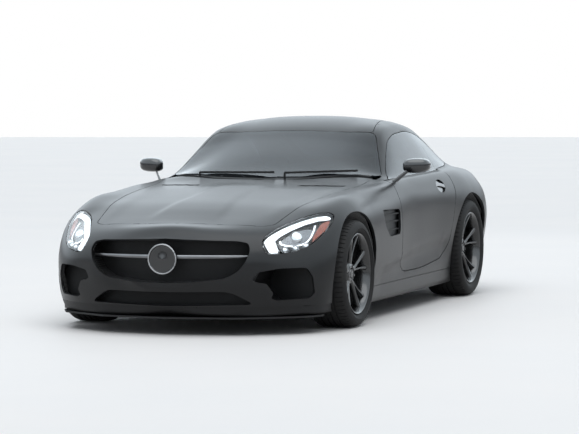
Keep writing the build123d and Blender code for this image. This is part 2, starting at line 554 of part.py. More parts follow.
def curved_plate(half_width, y_middle, y_end, thickness, z_low, z_high):
    """An upright plate bowed forwards in plan."""
    with BuildPart() as made:
        with BuildSketch(Plane.XY.offset(z_low)):
            with BuildLine():
                ThreePointArc((-half_width, y_end), (0, y_middle), (half_width, y_end))
                Line((half_width, y_end), (half_width, y_end + thickness))
                ThreePointArc((half_width, y_end + thickness), (0, y_middle + thickness), (-half_width, y_end + thickness))
                Line((-half_width, y_end + thickness), (-half_width, y_end))
            make_face()
        extrude(amount=z_high - z_low)
    return made.part


# Nose: shrouds behind the openings, grille and its bar
grille_outline = both_sides(GRILLE)
lower_outline = both_sides(LOWER_INTAKE)
grille = shroud(grille_outline, -2400, -1960) + [
    curved_plate(560, -2130, -1975, 10, 290, 620) & front_prism(grown(grille_outline, 5), -2400, -1900),
    shroud(lower_outline, -2400, -2000),
    curved_plate(600, -2130, -2010, 10, 150, 300) & front_prism(grown(lower_outline, 5), -2400, -1900),
]
side_duct = shroud(SIDE_INTAKE, -2300, -1790) + (front_prism(grown(SIDE_INTAKE, 5), -1800, -1790) & hollow)
EMBLEM_RADIUS = 93.0
bar_room = front_prism(grown(grille_outline, -SEAT_GAP), -2400, -1900)
grille_bar = (curved_plate(520, -2240, -2096, 14, 470, 488) & bar_room) + rod((0, -2262, 466), (0, -2215, 466), EMBLEM_RADIUS)
splitter = plan_prism(both_sides(SPLITTER), 102, 112.6)

# Tail
diffuser = [
    side_prism([(1800, 200), (2235, 200), (2235, 112), (2000, 110), (1800, 128)], x - 6, x + 6) - clear_of_outer
    for x in (-350, -150, 150, 350)
]
exhaust_tip = front_prism(grown(EXHAUST, -SEAT_GAP), 2090, 2215, 0.2) - front_prism(grown(EXHAUST, -8), 2080, 2300, 0.2)

# Side vent behind the front wheel
vent_back = side_prism(grown(VENT, 12), 872, 1000) & hollow
vent_fins = [block((880, 907), (-800, -300), (z, z + 8)) for z in (560, 612, 660)]
vent = vent_back + [fin & side_prism(grown(VENT, -0.5), 800, 1000) for fin in vent_fins]

# Mirror on the door
MIRROR_SECTIONS = [(880, -95, 968, 92, 58), (905, -90, 970, 124, 88), (1000, -75, 974, 118, 84), (1037, -60, 972, 60, 46)]
with BuildPart() as mirror_left:
    for x, y, z, wide, high in MIRROR_SECTIONS:
        with BuildSketch(Plane(origin=(x, y, z), x_dir=(0, 1, 0), z_dir=(1, 0, 0))):
            RectangleRounded(wide, high, 22)
    loft(ruled=True)
    add(flat_bar((838, -215, 868), (915, -110, 950), 22, 60, (0, 0, 1)))
mirror_left = mirror_left.part - clear_of_outer

# Cabin
dashboard_profile = [(-400, 600), (-400, 800), (-300, 838), (-60, 850), (40, 800), (60, 720), (0, 640), (-120, 600)]
dashboard = (side_prism(dashboard_profile, -725, 725) & plan_prism(both_sides(DASHBOARD), 500, 900)) + [
    block((-140, 140), (-150, 960), (TUNNEL_TOP, 560)),
    block((-140, 140), (-150, 40), (TUNNEL_TOP, 700)),
    rod((370, 20, 690), (370, 130, 734), 30),
    rod((370, 20, 690), (370, 224, 771.6), 12),
]
COLUMN = Vector(0, 204, 81.6).normalized()
WHEEL_CENTRE = Vector(370, 205, 764)
with BuildPart() as steering_wheel:
    with BuildSketch(Plane(origin=WHEEL_CENTRE, x_dir=(1, 0, 0), z_dir=COLUMN)):
        Circle(46)
        with PolarLocations(0, 3, start_angle=-90):
            with Locations((90, 0)):
                Rectangle(176, 34)
        Circle(12 + RUNNING_CLEARANCE, mode=Mode.SUBTRACT)
    extrude(amount=14, both=True)
    with BuildSketch(Plane(origin=WHEEL_CENTRE + Vector(172, 0, 0), x_dir=(1, 0, 0), z_dir=Vector(0, -81.6, 204).normalized())):
        Circle(15)
    revolve(axis=Axis(WHEEL_CENTRE, COLUMN))
SEAT_PROFILE = [(430, FLOOR_TOP + SEAT_GAP), (430, 330), (450, 400), (860, 350), (960, 980), (985, 1010), (1020, 980)]
SEAT_PROFILE += [(960, 300), (940, FLOOR_TOP + SEAT_GAP)]
seat = side_prism(SEAT_PROFILE, 180, 620, 0.08)

# Wipers stand on the cowl and lie along the windscreen's foot
wipers = []
wiper_room = [behind_glass, clear_of_outer & screen_zone]
for (x, y), tip, height in (((-460, -429), (90, -494, 932), 928), ((170, -513), (620, -340, 940), 930)):
    pivot = rod((x, y, height - 60), (x, y, height + 4), 7)
    wipers.append((flat_bar((x, y, height), tip, 14, 10, (0, 0, 1)) + pivot) - wiper_room)

left_pieces = {
    "door": door, "door_glass": door_glass, "mirror": mirror_left, "knuckle_front": knuckle.part,
    "rim_front": rim_front, "rim_rear": rim_rear, "tyre_front": tyre_front, "tyre_rear": tyre_rear,
}
paired_pieces = {
    "headlamps": headlamp, "wings": wing, "side_frames": side_frame, "sills": sill, "quarter_glass": quarter_glass,
    "tail_lamps": tail_lamp, "side_vents": vent, "exhaust_tips": exhaust_tip, "side_ducts": side_duct, "seats": seat,
}
single_pieces = {
    "bonnet": [bonnet], "roof": [roof], "hatch": [hatch], "windscreen": [windscreen], "rear_window": [rear_window],
    "front_bumper": [front_bumper], "rear_bumper": [rear_bumper], "cowl": [cowl], "floor_pan": [floor_pan],
    "grille": [grille], "grille_bar": [grille_bar], "splitter": [splitter], "diffuser": diffuser,
    "dashboard": [dashboard], "steering_wheel": [steering_wheel.part], "engine": [engine],
    "front_suspension": [front_suspension, engine_mount], "rear_suspension": [rear_suspension], "wipers": wipers,
    "wheelhouses": [*twice(front_house), *twice(rear_house)],
}
for name, shape in left_pieces.items():
    save(shape.solids(), f"{name}_left")
    save(mirrored(shape).solids(), f"{name}_right")
for name, shape in paired_pieces.items():
    save([*shape.solids(), *mirrored(shape).solids()], name)
for name, shapes in single_pieces.items():
    save([solid for shape in shapes for solid in shape.solids()], name)
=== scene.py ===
"""Visual model of a two-seat sports coupe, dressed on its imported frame."""

import math

import bmesh
import bpy
import numpy as np
from mathutils import Matrix, Vector
from mathutils.bvhtree import BVHTree


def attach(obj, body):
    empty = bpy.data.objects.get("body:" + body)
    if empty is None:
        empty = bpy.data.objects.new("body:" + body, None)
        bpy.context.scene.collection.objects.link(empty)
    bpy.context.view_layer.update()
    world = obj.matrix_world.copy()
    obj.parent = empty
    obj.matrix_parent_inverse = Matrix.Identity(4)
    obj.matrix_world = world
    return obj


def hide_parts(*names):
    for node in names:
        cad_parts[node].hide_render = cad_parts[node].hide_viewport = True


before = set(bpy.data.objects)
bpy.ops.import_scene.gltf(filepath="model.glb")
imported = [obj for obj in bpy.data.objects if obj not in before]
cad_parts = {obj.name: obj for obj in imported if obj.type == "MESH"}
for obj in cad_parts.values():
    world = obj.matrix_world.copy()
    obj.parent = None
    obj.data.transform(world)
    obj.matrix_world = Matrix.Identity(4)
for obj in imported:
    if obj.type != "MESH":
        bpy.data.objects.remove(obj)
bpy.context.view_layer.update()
scene = bpy.context.scene
for leftover in [o for o in bpy.data.objects if o.type in ("LIGHT", "CAMERA")]:
    bpy.data.objects.remove(leftover)


# Shader helpers
def new_node(tree, kind, settings=(), sockets=(), out=0):
    """A node of a kind: first its settings, a ramp's stops among them, then its sockets' values or links."""
    made = tree.nodes.new(kind)
    for key, value in dict(settings).items():
        if key == "stops":
            ends = made.color_ramp.elements
            while len(ends) < len(value):
                ends.new(0.5)
            for end, (place, colour) in zip(ends, value):
                end.position = place
                end.color = (*colour, 1)
        else:
            setattr(made, key, value)
    for key, value in dict(sockets).items():
        if isinstance(value, Wire):
            tree.links.new(value.socket, made.inputs[key])
        else:
            made.inputs[key].default_value = value
    return Wire(tree, made.outputs[out])


class Wire:
    """A shader socket that takes part in sums and products, and feeds other nodes."""

    def __init__(self, tree, socket):
        self.tree = tree
        self.socket = socket

    def node(self, kind, settings=(), sockets=(), out=0):
        """A node whose first socket this one feeds."""
        return new_node(self.tree, kind, settings, {0: self, **dict(sockets)}, out)

    def maths(self, operation, other=0.0, clamp=False):
        return self.node("ShaderNodeMath", {"operation": operation, "use_clamp": clamp}, {1: other})

    def __add__(self, other):
        return self.maths("ADD", other)

    def __mul__(self, other):
        return self.maths("MULTIPLY", other)

    __radd__, __rmul__ = __add__, __mul__

    def over(self, limit):
        return self.maths("GREATER_THAN", limit)

    def sine(self):
        return self.maths("SINE")

    def squared(self):
        return self.maths("POWER", 2.0)

    def held(self):
        """The value kept between 0 and 1."""
        return self.maths("ADD", 0.0, clamp=True)

    def axis(self, letter):
        return self.node("ShaderNodeSeparateXYZ", out=letter)

    def noise(self, scale, detail=4.0, rough=0.5):
        return self.node("ShaderNodeTexNoise", sockets={"Scale": scale, "Detail": detail, "Roughness": rough})

    def cells(self, scale, feature="F1"):
        return self.node("ShaderNodeTexVoronoi", {"feature": feature}, {"Scale": scale})

    def ramp(self, *stops):
        """Colours by the value of this socket."""
        return self.node("ShaderNodeValToRGB", {"stops": stops})

    def bump(self, strength, distance):
        """A normal with this socket as its height, distance in metres."""
        heights = {"Strength": strength, "Distance": distance, "Height": self}
        return new_node(self.tree, "ShaderNodeBump", sockets=heights)


def material(name, constants, build):
    """A procedural material: constants on the shader's own sockets, and the links that build(place) gives."""
    made = bpy.data.materials.new(name)
    made.use_nodes = True
    tree = made.node_tree
    shader = tree.nodes["Principled BSDF"]
    for key, value in constants.items():
        shader.inputs[key].default_value = value
    place = new_node(tree, "ShaderNodeTexCoord", out="Object")
    for socket, wire in build(place).items():
        tree.links.new(wire.socket, shader.inputs[socket])
    return made


def shade(colour, factor):
    return tuple(min(1.0, part * factor) for part in colour)


def varied(colour, spread, roughness, rough_spread, scale, grain_scale, grain, distance=0.0005):
    """The usual build: cloudy colour and roughness, and a fine grain."""

    def build(place):
        cloud = place.noise(scale, 5.0)
        return {
            "Base Color": cloud.ramp((0.3, shade(colour, 1 - spread)), (0.7, shade(colour, 1 + spread))),
            "Roughness": cloud * rough_spread + (roughness - rough_spread / 2),
            "Normal": place.noise(grain_scale, 3.0).bump(grain, distance),
        }

    return build


def paint_build(place):
    cloud = place.noise(1.7, 6.0)
    flake = place.cells(2600.0)
    dust = place.noise(60.0, 6.0, 0.7)
    tone = cloud * 0.6 + flake * 0.4
    return {
        "Base Color": tone.ramp((0.2, (0.0065, 0.0068, 0.0075)), (0.8, (0.0135, 0.014, 0.015))),
        "Roughness": cloud * 0.05 + dust * 0.05 + 0.26,
        "Normal": place.noise(900.0, 2.0).bump(0.03, 0.0003),
    }


def tyre_build(place):
    cloud = place.noise(9.0, 6.0)
    return {
        "Base Color": cloud.ramp((0.25, (0.007, 0.007, 0.0075)), (0.8, (0.017, 0.0165, 0.016))),
        "Roughness": cloud * 0.12 + 0.66,
        "Normal": place.noise(420.0, 4.0).bump(0.25, 0.0004),
    }


def leather_build(place):
    """Fine creases between the cells of a grain."""
    grain = place.cells(260.0, "DISTANCE_TO_EDGE")
    cloud = place.noise(6.0, 5.0)
    return {
        "Base Color": cloud.ramp((0.3, (0.016, 0.016, 0.017)), (0.75, (0.03, 0.029, 0.029))),
        "Roughness": cloud * 0.12 + 0.42,
        "Normal": (grain * 8.0).held().bump(0.35, 0.0004),
    }


def disc_build(place):
    """Turned rings about the axle's height."""
    rings = (place.axis("Y").squared() + place.axis("Z").squared()).maths("SQRT")
    cloud = place.noise(14.0, 4.0)
    return {
        "Base Color": cloud.ramp((0.3, (0.2, 0.2, 0.2)), (0.7, (0.3, 0.295, 0.29))),
        "Roughness": cloud * 0.1 + 0.3,
        "Normal": (rings * 2400.0).sine().bump(0.2, 0.0002),
    }


def glass_build(tint):
    def build(place):
        cloud = place.noise(3.0, 4.0)
        return {
            "Base Color": cloud.ramp((0.3, shade(tint, 0.92)), (0.7, shade(tint, 1.06))),
            "Roughness": cloud * 0.02 + 0.02,
            "Normal": place.noise(2.2, 2.0).bump(0.02, 0.002),
        }

    return build


def glow_build(colour):
    def build(place):
        cloud = place.noise(50.0, 3.0)
        return {
            "Base Color": cloud.ramp((0.3, shade(colour, 0.9)), (0.7, colour)),
            "Roughness": cloud * 0.1 + 0.25,
            "Emission Color": cloud.ramp((0.3, shade(colour, 0.92)), (0.7, colour)),
        }

    return build


def mesh_build(place):
    """Black grille mesh whose holes are a height pattern, with painted shade: the holes get a near-black colour for the
    dark seen through the openings.
    """
    holes = ((place.axis("X") * 520.0).sine() * (place.axis("Z") * 900.0).sine()).over(0.12)
    return {
        # painted shade: the holes are coloured near black, in place of the dark behind the openings
        "Base Color": holes.ramp((0.0, (0.014, 0.014, 0.015)), (1.0, (0.0008, 0.0008, 0.0008))),
        "Roughness": holes * 0.4 + 0.45,
        "Normal": (holes * -1.0).bump(0.8, 0.003),
    }


def floor_build(place):
    cloud = place.noise(0.6, 6.0)
    return {
        "Base Color": cloud.ramp((0.3, (0.77, 0.775, 0.78)), (0.7, (0.8, 0.8, 0.8))),
        "Roughness": cloud * 0.1 + 0.6,
        "Normal": place.noise(40.0, 4.0).bump(0.05, 0.001),
    }


PAINT = material("satin_black_paint",
                 {"Coat Weight": 0.04, "Coat Roughness": 0.25, "Specular IOR Level": 0.25}, paint_build)
RUBBER = material("tyre_rubber", {"Specular IOR Level": 0.22}, tyre_build)
WHEEL = material("black_wheel_paint", {"Coat Weight": 0.5, "Coat Roughness": 0.12},
                 varied((0.006, 0.006, 0.0065), 0.25, 0.24, 0.1, 14.0, 700.0, 0.03))
LEATHER = material("black_leather", {"Sheen Weight": 0.1}, leather_build)
DISC = material("turned_brake_disc", {"Metallic": 1.0}, disc_build)
TINTED = material("tinted_glass", {"Transmission Weight": 0.93, "IOR": 1.36}, glass_build((0.075, 0.09, 0.105)))
CLEAR = material("clear_lens", {"Transmission Weight": 1.0, "IOR": 1.2}, glass_build((0.93, 0.95, 0.97)))
RED_LENS = material("red_lens", {"Transmission Weight": 0.2, "IOR": 1.45, "Coat Weight": 0.3},
                    varied((0.13, 0.003, 0.004), 0.2, 0.14, 0.05, 12.0, 240.0, 0.05))
WHITE_GLOW = material("white_light_guide", {"Emission Strength": 0.42}, glow_build((0.95, 0.97, 1.0)))
AMBER = material("amber_marker", {"Emission Strength": 0.12}, glow_build((0.2, 0.035, 0.012)))
RED_GLOW = material("red_light_guide", {"Emission Strength": 0.25}, glow_build((0.8, 0.03, 0.03)))
MESH = material("black_mesh", {"Specular IOR Level": 0.25}, mesh_build)
PLASTIC = material("black_moulded_plastic", {"Specular IOR Level": 0.3},
                   varied((0.006, 0.006, 0.0065), 0.25, 0.5, 0.14, 8.0, 520.0, 0.22))
GLOSS = material("gloss_black_trim", {"Coat Weight": 0.6, "Coat Roughness": 0.05},
                 varied((0.006, 0.006, 0.007), 0.2, 0.16, 0.08, 9.0, 300.0, 0.02))
DARK_METAL = material("dark_satin_metal", {"Metallic": 0.85},
                      varied((0.17, 0.172, 0.178), 0.12, 0.3, 0.08, 16.0, 800.0, 0.05))
CHROME = material("bright_metal", {"Metallic": 1.0}, varied((0.62, 0.63, 0.64), 0.06, 0.14, 0.07, 18.0, 500.0, 0.03))
IRON = material("cast_iron", {"Metallic": 0.4}, varied((0.06, 0.058, 0.056), 0.25, 0.6, 0.15, 25.0, 340.0, 0.4, 0.001))
ALLOY = material("cast_alloy", {"Metallic": 0.8}, varied((0.3, 0.3, 0.305), 0.12, 0.45, 0.12, 20.0, 420.0, 0.3, 0.001))
CARPET = material("black_carpet", {"Sheen Weight": 0.4},
                  varied((0.012, 0.012, 0.012), 0.35, 0.92, 0.1, 12.0, 900.0, 0.7, 0.002))
PALE_FLOOR = material("pale_floor", {"Specular IOR Level": 0.3}, floor_build)

# Smooth body surface: the frame's half sections, millimetres, joined by curves
BODY_SECTIONS = [
    # y, bottom, widest, shoulder, haunch, crest, belt, rail, roof, z in the middle
    (-2273, 110, 300, 190, 335, 212, 400, 212, 440, 200, 480, 170, 512, 120, 530, 60, 540, 544),
    (-2230, 110, 222, 275, 320, 306, 410, 306, 450, 285, 495, 230, 535, 150, 558, 75, 570, 574),
    (-2195, 120, 152, 395, 315, 418, 415, 416, 450, 390, 495, 319, 550, 220, 578, 100, 590, 594),
    (-2120, 400, 113, 552, 300, 566, 420, 562, 460, 535, 515, 460, 568, 300, 620, 140, 644, 652),
    (-2000, 650, 115, 742, 310, 735, 430, 718, 475, 680, 535, 590, 602, 440, 645, 200, 664, 670),
    (-1850, 820, 117, 856, 340, 850, 450, 826, 520, 775, 580, 680, 645, 480, 684, 220, 699, 704),
    (-1560, 880, 118, 955, 420, 948, 570, 905, 668, 805, 735, 660, 750, 480, 757, 240, 766, 770),
    (-1343, 885, 119, 962, 500, 950, 670, 900, 750, 822, 795, 660, 786, 480, 790, 240, 798, 802),
    (-1000, 885, 120, 949, 490, 938, 685, 895, 770, 836, 819, 660, 822, 500, 832, 250, 841, 844),
    (-540, 885, 120, 930, 470, 920, 695, 893, 770, 847, 846, 745, 856, 560, 868, 300, 884, 892),
    (-420, 885, 120, 924, 472, 915, 698, 890, 775, 846, 848, 782, 868, 655, 885, 380, 925, 938),
    (-191, 885, 120, 912, 480, 906, 705, 884, 785, 843, 862, 790, 881, 712, 915, 420, 1015, 1045),
    (20, 885, 121, 907, 485, 901, 715, 882, 792, 841, 868, 795, 886, 668, 1045, 390, 1115, 1140),
    (200, 885, 121, 907, 500, 902, 720, 882, 795, 843, 874, 797, 890, 612, 1168, 352, 1205, 1222),
    (520, 885, 122, 912, 520, 908, 728, 884, 804, 844, 881, 798, 898, 598, 1220, 342, 1272, 1288),
    (900, 882, 123, 936, 555, 928, 735, 895, 820, 845, 888, 792, 906, 595, 1203, 335, 1248, 1263),
    (1287, 878, 126, 969, 590, 948, 745, 902, 840, 840, 892, 765, 918, 580, 1105, 335, 1134, 1144),
    (1620, 868, 131, 960, 590, 932, 745, 880, 830, 805, 885, 705, 915, 532, 985, 325, 1012, 1024),
    (1850, 840, 140, 902, 540, 885, 700, 845, 780, 770, 866, 645, 896, 487, 928, 312, 950, 960),
    (2060, 640, 152, 742, 450, 738, 620, 715, 720, 650, 805, 560, 856, 445, 884, 300, 902, 911),
    (2150, 480, 168, 588, 420, 600, 590, 580, 690, 520, 775, 450, 828, 360, 858, 240, 876, 884),
    (2215, 150, 285, 400, 400, 460, 560, 440, 660, 395, 735, 340, 785, 250, 820, 130, 842, 850),
    (2273, 90, 470, 180, 500, 205, 545, 205, 590, 195, 625, 170, 645, 120, 660, 60, 668, 670),
]
STEPS_ACROSS = [12, 9, 6, 6, 6, 12, 10, 12]  # mesh columns between two points of a section
ROW_STEP = 22.0
BELT, RAIL, MIDDLE = 5, 6, 8  # points of a section: the belt is a crease beside the cabin
FRONT_AXLE = Vector((0, -1.343, 0.334))
REAR_AXLE = Vector((0, 1.287, 0.343))


def smooth_curve(values, knots, wanted, crease=None):
    """Points at the wanted parameters of a smooth curve through values at knots. A crease of 1 makes a corner."""
    values = np.asarray(values, float)
    knots = np.asarray(knots, float)
    step = np.diff(knots)[:, None]
    slope = np.diff(values, axis=0) / step
    middle = (slope[:-1] * step[1:] + slope[1:] * step[:-1]) / (step[:-1] + step[1:])
    tangent = np.vstack([slope[:1], middle, slope[-1:]])
    before, after = tangent.copy(), tangent.copy()
    if crease is not None:
        share = np.asarray(crease, float)[:, None]
        before[1:] += share[1:] * (slope - before[1:])
        after[:-1] += share[:-1] * (slope - after[:-1])
    span = np.clip(np.searchsorted(knots, wanted, side="right") - 1, 0, len(knots) - 2)
    width = np.diff(knots)[span][:, None]
    t = ((np.asarray(wanted) - knots[span]) / width[:, 0])[:, None]
    start, end = values[span], values[span + 1]
    return (
        (2 * t**3 - 3 * t**2 + 1) * start + (t**3 - 2 * t**2 + t) * width * after[span]
        + (3 * t**2 - 2 * t**3) * end + (t**3 - t**2) * width * before[span + 1]
    )


def fade(value, low, high):
    """0 below low, 1 above high, smooth between."""
    t = np.clip((value - low) / (high - low), 0, 1)
    return t * t * (3 - 2 * t)


def along(points, at):
    """Straight interpolation in a short list of (place, value)."""
    places, amounts = zip(*points)
    return np.interp(at, places, amounts)


def shaped(p):
    """Domes of the bonnet and the hollow along the doors, on an array of points in millimetres."""
    x, y, z = p[..., 0], p[..., 1], p[..., 2]
    out = p.copy()
    crease = along([(-2000, 222), (-1787, 203), (-1379, 152), (-943, 128), (-640, 130)], y)
    on_bonnet = fade(y, -1960, -1700) * (1 - fade(y, -900, -600)) * (z > 600)
    out[..., 2] += 8 * on_bonnet * (1 - fade(np.abs(x), crease - 20, crease + 44))
    outer_ridge = along([(-1900, 520), (-1379, 560), (-943, 600), (-640, 640)], y)
    out[..., 2] += 4 * on_bonnet * np.exp(-(((np.abs(x) - outer_ridge) / 60) ** 2))
    line = along([(-1000, 300), (-778, 321), (-341, 369), (139, 423), (629, 449), (753, 437), (900, 420)], y)
    length = fade(y, -930, -700) * (1 - fade(y, 700, 930))
    drop = line - z
    hollow = fade(drop, 0, 34) * (1 - fade(drop, 60, 200))
    out[..., 0] -= 15 * length * hollow * (np.abs(x) > 850)
    return out


def half_surface():
    """Mesh of the left half of the outer surface, in metres, with its normals kept on the points."""
    table = np.array([[(row[1 + 2 * i], row[0], row[2 + 2 * i]) for i in range(MIDDLE)] + [(0, row[0], row[-1])]
                      for row in BODY_SECTIONS], float)
    gaps = np.linalg.norm(np.diff(table, axis=0), axis=2).mean(axis=1)
    knots = np.concatenate([[0], np.cumsum(gaps)])
    wanted = [knots[0]]
    for low, high in zip(knots, knots[1:]):
        count = max(2, round((high - low) / ROW_STEP))
        wanted += list(low + (high - low) * (np.arange(count) + 1) / count)
    rows = np.stack([smooth_curve(table[:, k], knots, wanted) for k in range(MIDDLE + 1)], axis=1)
    rows[:, MIDDLE, 0] = 0
    crease_by_y = along([(-700, 0), (-300, 0.9), (1500, 0.9), (1900, 0.2), (2100, 0)], rows[:, 0, 1])
    grid = []
    for row, belt_crease in zip(rows, crease_by_y):
        mirror_point = row[MIDDLE - 1] * (-1, 1, 1)
        points = np.vstack([row, mirror_point])
        spacing = np.sqrt(np.linalg.norm(np.diff(points, axis=0), axis=1)) + 1e-6
        ticks = np.concatenate([[0], np.cumsum(spacing)])
        crease = np.zeros(len(points))
        crease[BELT] = belt_crease
        crease[RAIL] = 0.35 * belt_crease
        at = [ticks[0]]
        for k, count in enumerate(STEPS_ACROSS):
            at += list(ticks[k] + (ticks[k + 1] - ticks[k]) * (np.arange(count) + 1) / count)
        section = smooth_curve(points, ticks, at, crease)
        section[-1, 0] = 0
        grid.append(section)
    grid = shaped(np.array(grid)) / 1000
    bm = bmesh.new()
    verts = [[bm.verts.new(p) for p in line] for line in grid]
    floor = [bm.verts.new((0, line[0][1], line[0][2])) for line in grid]
    for a, b, c, d in zip(verts, verts[1:], floor, floor[1:]):
        for i in range(len(a) - 1):
            bm.faces.new((a[i], b[i], b[i + 1], a[i + 1]))
        bm.faces.new((c, d, b[0], a[0]))
    for line, foot, flip in ((verts[0], floor[0], False), (verts[-1], floor[-1], True)):
        middle = [foot] + [bm.verts.new((0, v.co.y, v.co.z)) for v in line[1:-1]] + [line[-1]]
        for i in range(len(line) - 1):
            ring = [line[i], line[i + 1], middle[i + 1], middle[i]]
            ring = [v for k, v in enumerate(ring) if v != ring[k - 1]]
            bm.faces.new(ring[::-1] if flip else ring)
    bmesh.ops.recalc_face_normals(bm, faces=bm.faces)
    outward = sum(f.normal.x * f.calc_area() for f in bm.faces)
    if outward < 0:
        bmesh.ops.reverse_faces(bm, faces=bm.faces)
    bm.normal_update()
    layer = bm.verts.layers.float_vector.new("smooth")
    for v in bm.verts:
        n = v.normal.copy()
        if abs(v.co.x) < 1e-7:
            n.x = 0
        v[layer] = n.normalized()
    return bm


# Outlines of the panels, left half, as in the frame: plan (x, y), side (y, z) or front (x, z), millimetres
PLAN, SIDE, FRONT = (0, 1, 2), (1, 2, 0), (0, 2, 1)
BONNET = [(0, -2000), (300, -1988), (520, -1940), (585, -1880), (640, -1480), (665, -1260), (688, -1000)]
BONNET += [(708, -700), (722, -420), (726, -332), (680, -345), (560, -428), (330, -525), (0, -570)]
SCREEN = [(0, -525), (330, -478), (560, -370), (742, -200), (577, 190), (300, 148), (0, 135)]
ROOF = [(0, 135), (300, 148), (560, 190), (505, 500), (470, 795), (300, 805), (0, 805)]
HATCH = [(0, 795), (464, 795), (505, 1000), (512, 1300), (500, 1700), (440, 1960), (425, 2400), (0, 2400)]
REAR_GLASS = [(0, 860), (400, 860), (440, 1000), (440, 1300), (420, 1640), (380, 1740), (0, 1760)]
DOOR = [(-305, 268), (208, 268), (652, 305), (800, 370), (868, 560), (905, 660), (950, 745), (972, 830)]
DOOR += [(972, 907), (-305, 876)]
SIDE_WINDOW = [(-215, 880.5), (-165, 890), (20, 1012), (200, 1122), (390, 1168), (700, 1184), (950, 1150)]
SIDE_WINDOW += [(1200, 1060), (1390, 968), (1370, 945), (1250, 930), (985, 918), (930, 907)]
FRONT_BUMPER = [(-2500, 0), (-2500, 800), (-1830, 800), (-1830, 654), (-1478, 654), (-1478, 0)]
REAR_BUMPER = [(2500, 0), (2500, 712), (1850, 712), (1680, 560), (1600, 0)]
VENT = [(-772, 703), (-352, 692), (-368, 529), (-640, 524), (-752, 600)]
HEADLAMP = [(560, 582), (600, 488), (690, 497), (750, 509), (812, 545), (868, 640), (862, 705), (826, 723)]
HEADLAMP += [(772, 719), (690, 692), (619, 648)]
GRILLE = [(0, 588), (440, 573), (500, 560), (517, 515), (500, 455), (456, 392), (374, 348), (180, 328), (0, 323)]
SIDE_INTAKE = [(556, 385), (680, 408), (805, 408), (832, 350), (835, 250), (808, 219), (650, 213), (622, 226)]
SIDE_INTAKE += [(638, 258), (606, 318), (566, 322), (532, 338)]
LOWER_INTAKE = [(0, 268), (400, 270), (530, 190), (0, 180)]
BONNET_SLOT = [(340, -775), (634, -702), (642, -650), (348, -716)]
TAIL_LAMP = [(432, 716), (800, 706), (868, 700), (885, 735), (860, 778), (600, 772), (432, 764)]
EXHAUST = [(450, 188), (606, 196), (592, 268), (462, 268)]
TAIL_BLACK = [(0, 40), (0, 322), (400, 318), (650, 296), (742, 236), (760, 40)]
HANDLE = (690, 803)  # y, z of the door handle's middle
GAP = 2.0  # half the shut line between two panels
LIP = 0.0012  # how far a panel's edge turns in, in metres
SHARP_ANGLE = math.radians(35)  # edges sharper than this stay sharp
EVERYWHERE = (-9000, 9000)  # all along the line of sight


def grown(outline, amount):
    """The polygon with every side moved outwards by amount; corners on the centreline go past it."""
    area = sum(a[0] * b[1] - b[0] * a[1] for a, b in zip(outline, outline[1:] + outline[:1]))
    side = 1 if area > 0 else -1
    corners = []
    for i, here in enumerate(outline):
        into = (Vector(here) - Vector(outline[i - 1])).normalized()
        away = (Vector(outline[(i + 1) % len(outline)]) - Vector(here)).normalized()
        first = Vector((into.y, -into.x)) * side
        second = Vector((away.y, -away.x)) * side
        moved = Vector(here) + (first + second) * (amount / (1 + first.dot(second)))
        corners.append((-50.0 if abs(here[0]) < 1e-6 else moved.x, moved.y))
    return corners


def softened(outline, share=0.3, steps=4, keep=()):
    """The polygon with its corners rounded, apart from those on the centreline and in keep."""
    corners = []
    for i, here in enumerate(outline):
        here = Vector(here)
        before, after = Vector(outline[i - 1]), Vector(outline[(i + 1) % len(outline)])
        if i in keep or abs(here.x) < 1e-6:
            corners.append(tuple(here))
            continue
        trim = share * min((before - here).length, (after - here).length)
        a = here + (before - here).normalized() * trim
        b = here + (after - here).normalized() * trim
        for k in range(steps + 1):
            t = k / steps
            corners.append(tuple(a * (1 - t) ** 2 + here * (2 * t * (1 - t)) + b * t * t))
    return corners


def round_angles(steps):
    """Equal steps of one full turn, in radians."""
    return [2 * math.pi * i / steps for i in range(steps)]


def ring(centre, radius, steps=72):
    """A circle as an outline in side view, in millimetres."""
    y, z = centre.y * 1000, centre.z * 1000
    return [(y + radius * math.cos(a), z + radius * math.sin(a)) for a in round_angles(steps)]


def slit(bm, outline, view, low, high):
    """Cuts the mesh along the outline seen in a view, only between low and high along the line of sight."""
    first, second, depth = view
    low, high = low / 1000, high / 1000
    for i, end in enumerate(outline):
        a, b = Vector(outline[i - 1]) / 1000, Vector(end) / 1000
        length = (b - a).length
        if length < 1e-6:
            continue
        direction = (b - a) / length
        across = Vector((direction.y, -direction.x))
        bm.verts.index_update()
        sides = []
        for v in bm.verts:
            d = Vector((v.co[first], v.co[second])) - a
            sides.append((d.dot(across), d.dot(direction), v.co[depth]))
        hit = set()
        for f in bm.faces:
            marks = [sides[v.index] for v in f.verts]
            if min(m[0] for m in marks) > 1e-7 or max(m[0] for m in marks) < -1e-7:
                continue
            if min(m[1] for m in marks) > length or max(m[1] for m in marks) < 0:
                continue
            if max(m[2] for m in marks) < low or min(m[2] for m in marks) > high:
                continue
            hit.add(f)
        if not hit:
            continue
        pieces = set(hit)
        for f in hit:
            pieces.update(f.edges)
            pieces.update(f.verts)
        point, normal = [0, 0, 0], [0, 0, 0]
        point[first], point[second] = a
        normal[first], normal[second] = across
        bmesh.ops.bisect_plane(bm, geom=list(pieces), dist=1e-6, plane_co=point, plane_no=normal)


def inside(outline, x, y):
    """Whether a point lies in a polygon."""
    found = False
    for i, (xb, yb) in enumerate(outline):
        xa, ya = outline[i - 1]
        if (ya > y) != (yb > y) and x < (xb - xa) * (y - ya) / (yb - ya) + xa:
            found = not found
    return found


def trimmed(bm, outline, view, keep, low=EVERYWHERE[0], high=EVERYWHERE[1]):
    """Keeps or drops what lies in the outline."""
    slit(bm, outline, view, low, high)
    gone = []
    for f in bm.faces:
        c = f.calc_center_median() * 1000
        within = low <= c[view[2]] <= high and inside(outline, c[view[0]], c[view[1]])
        if within != keep:
            gone.append(f)
    bmesh.ops.delete(bm, geom=gone, context="FACES")


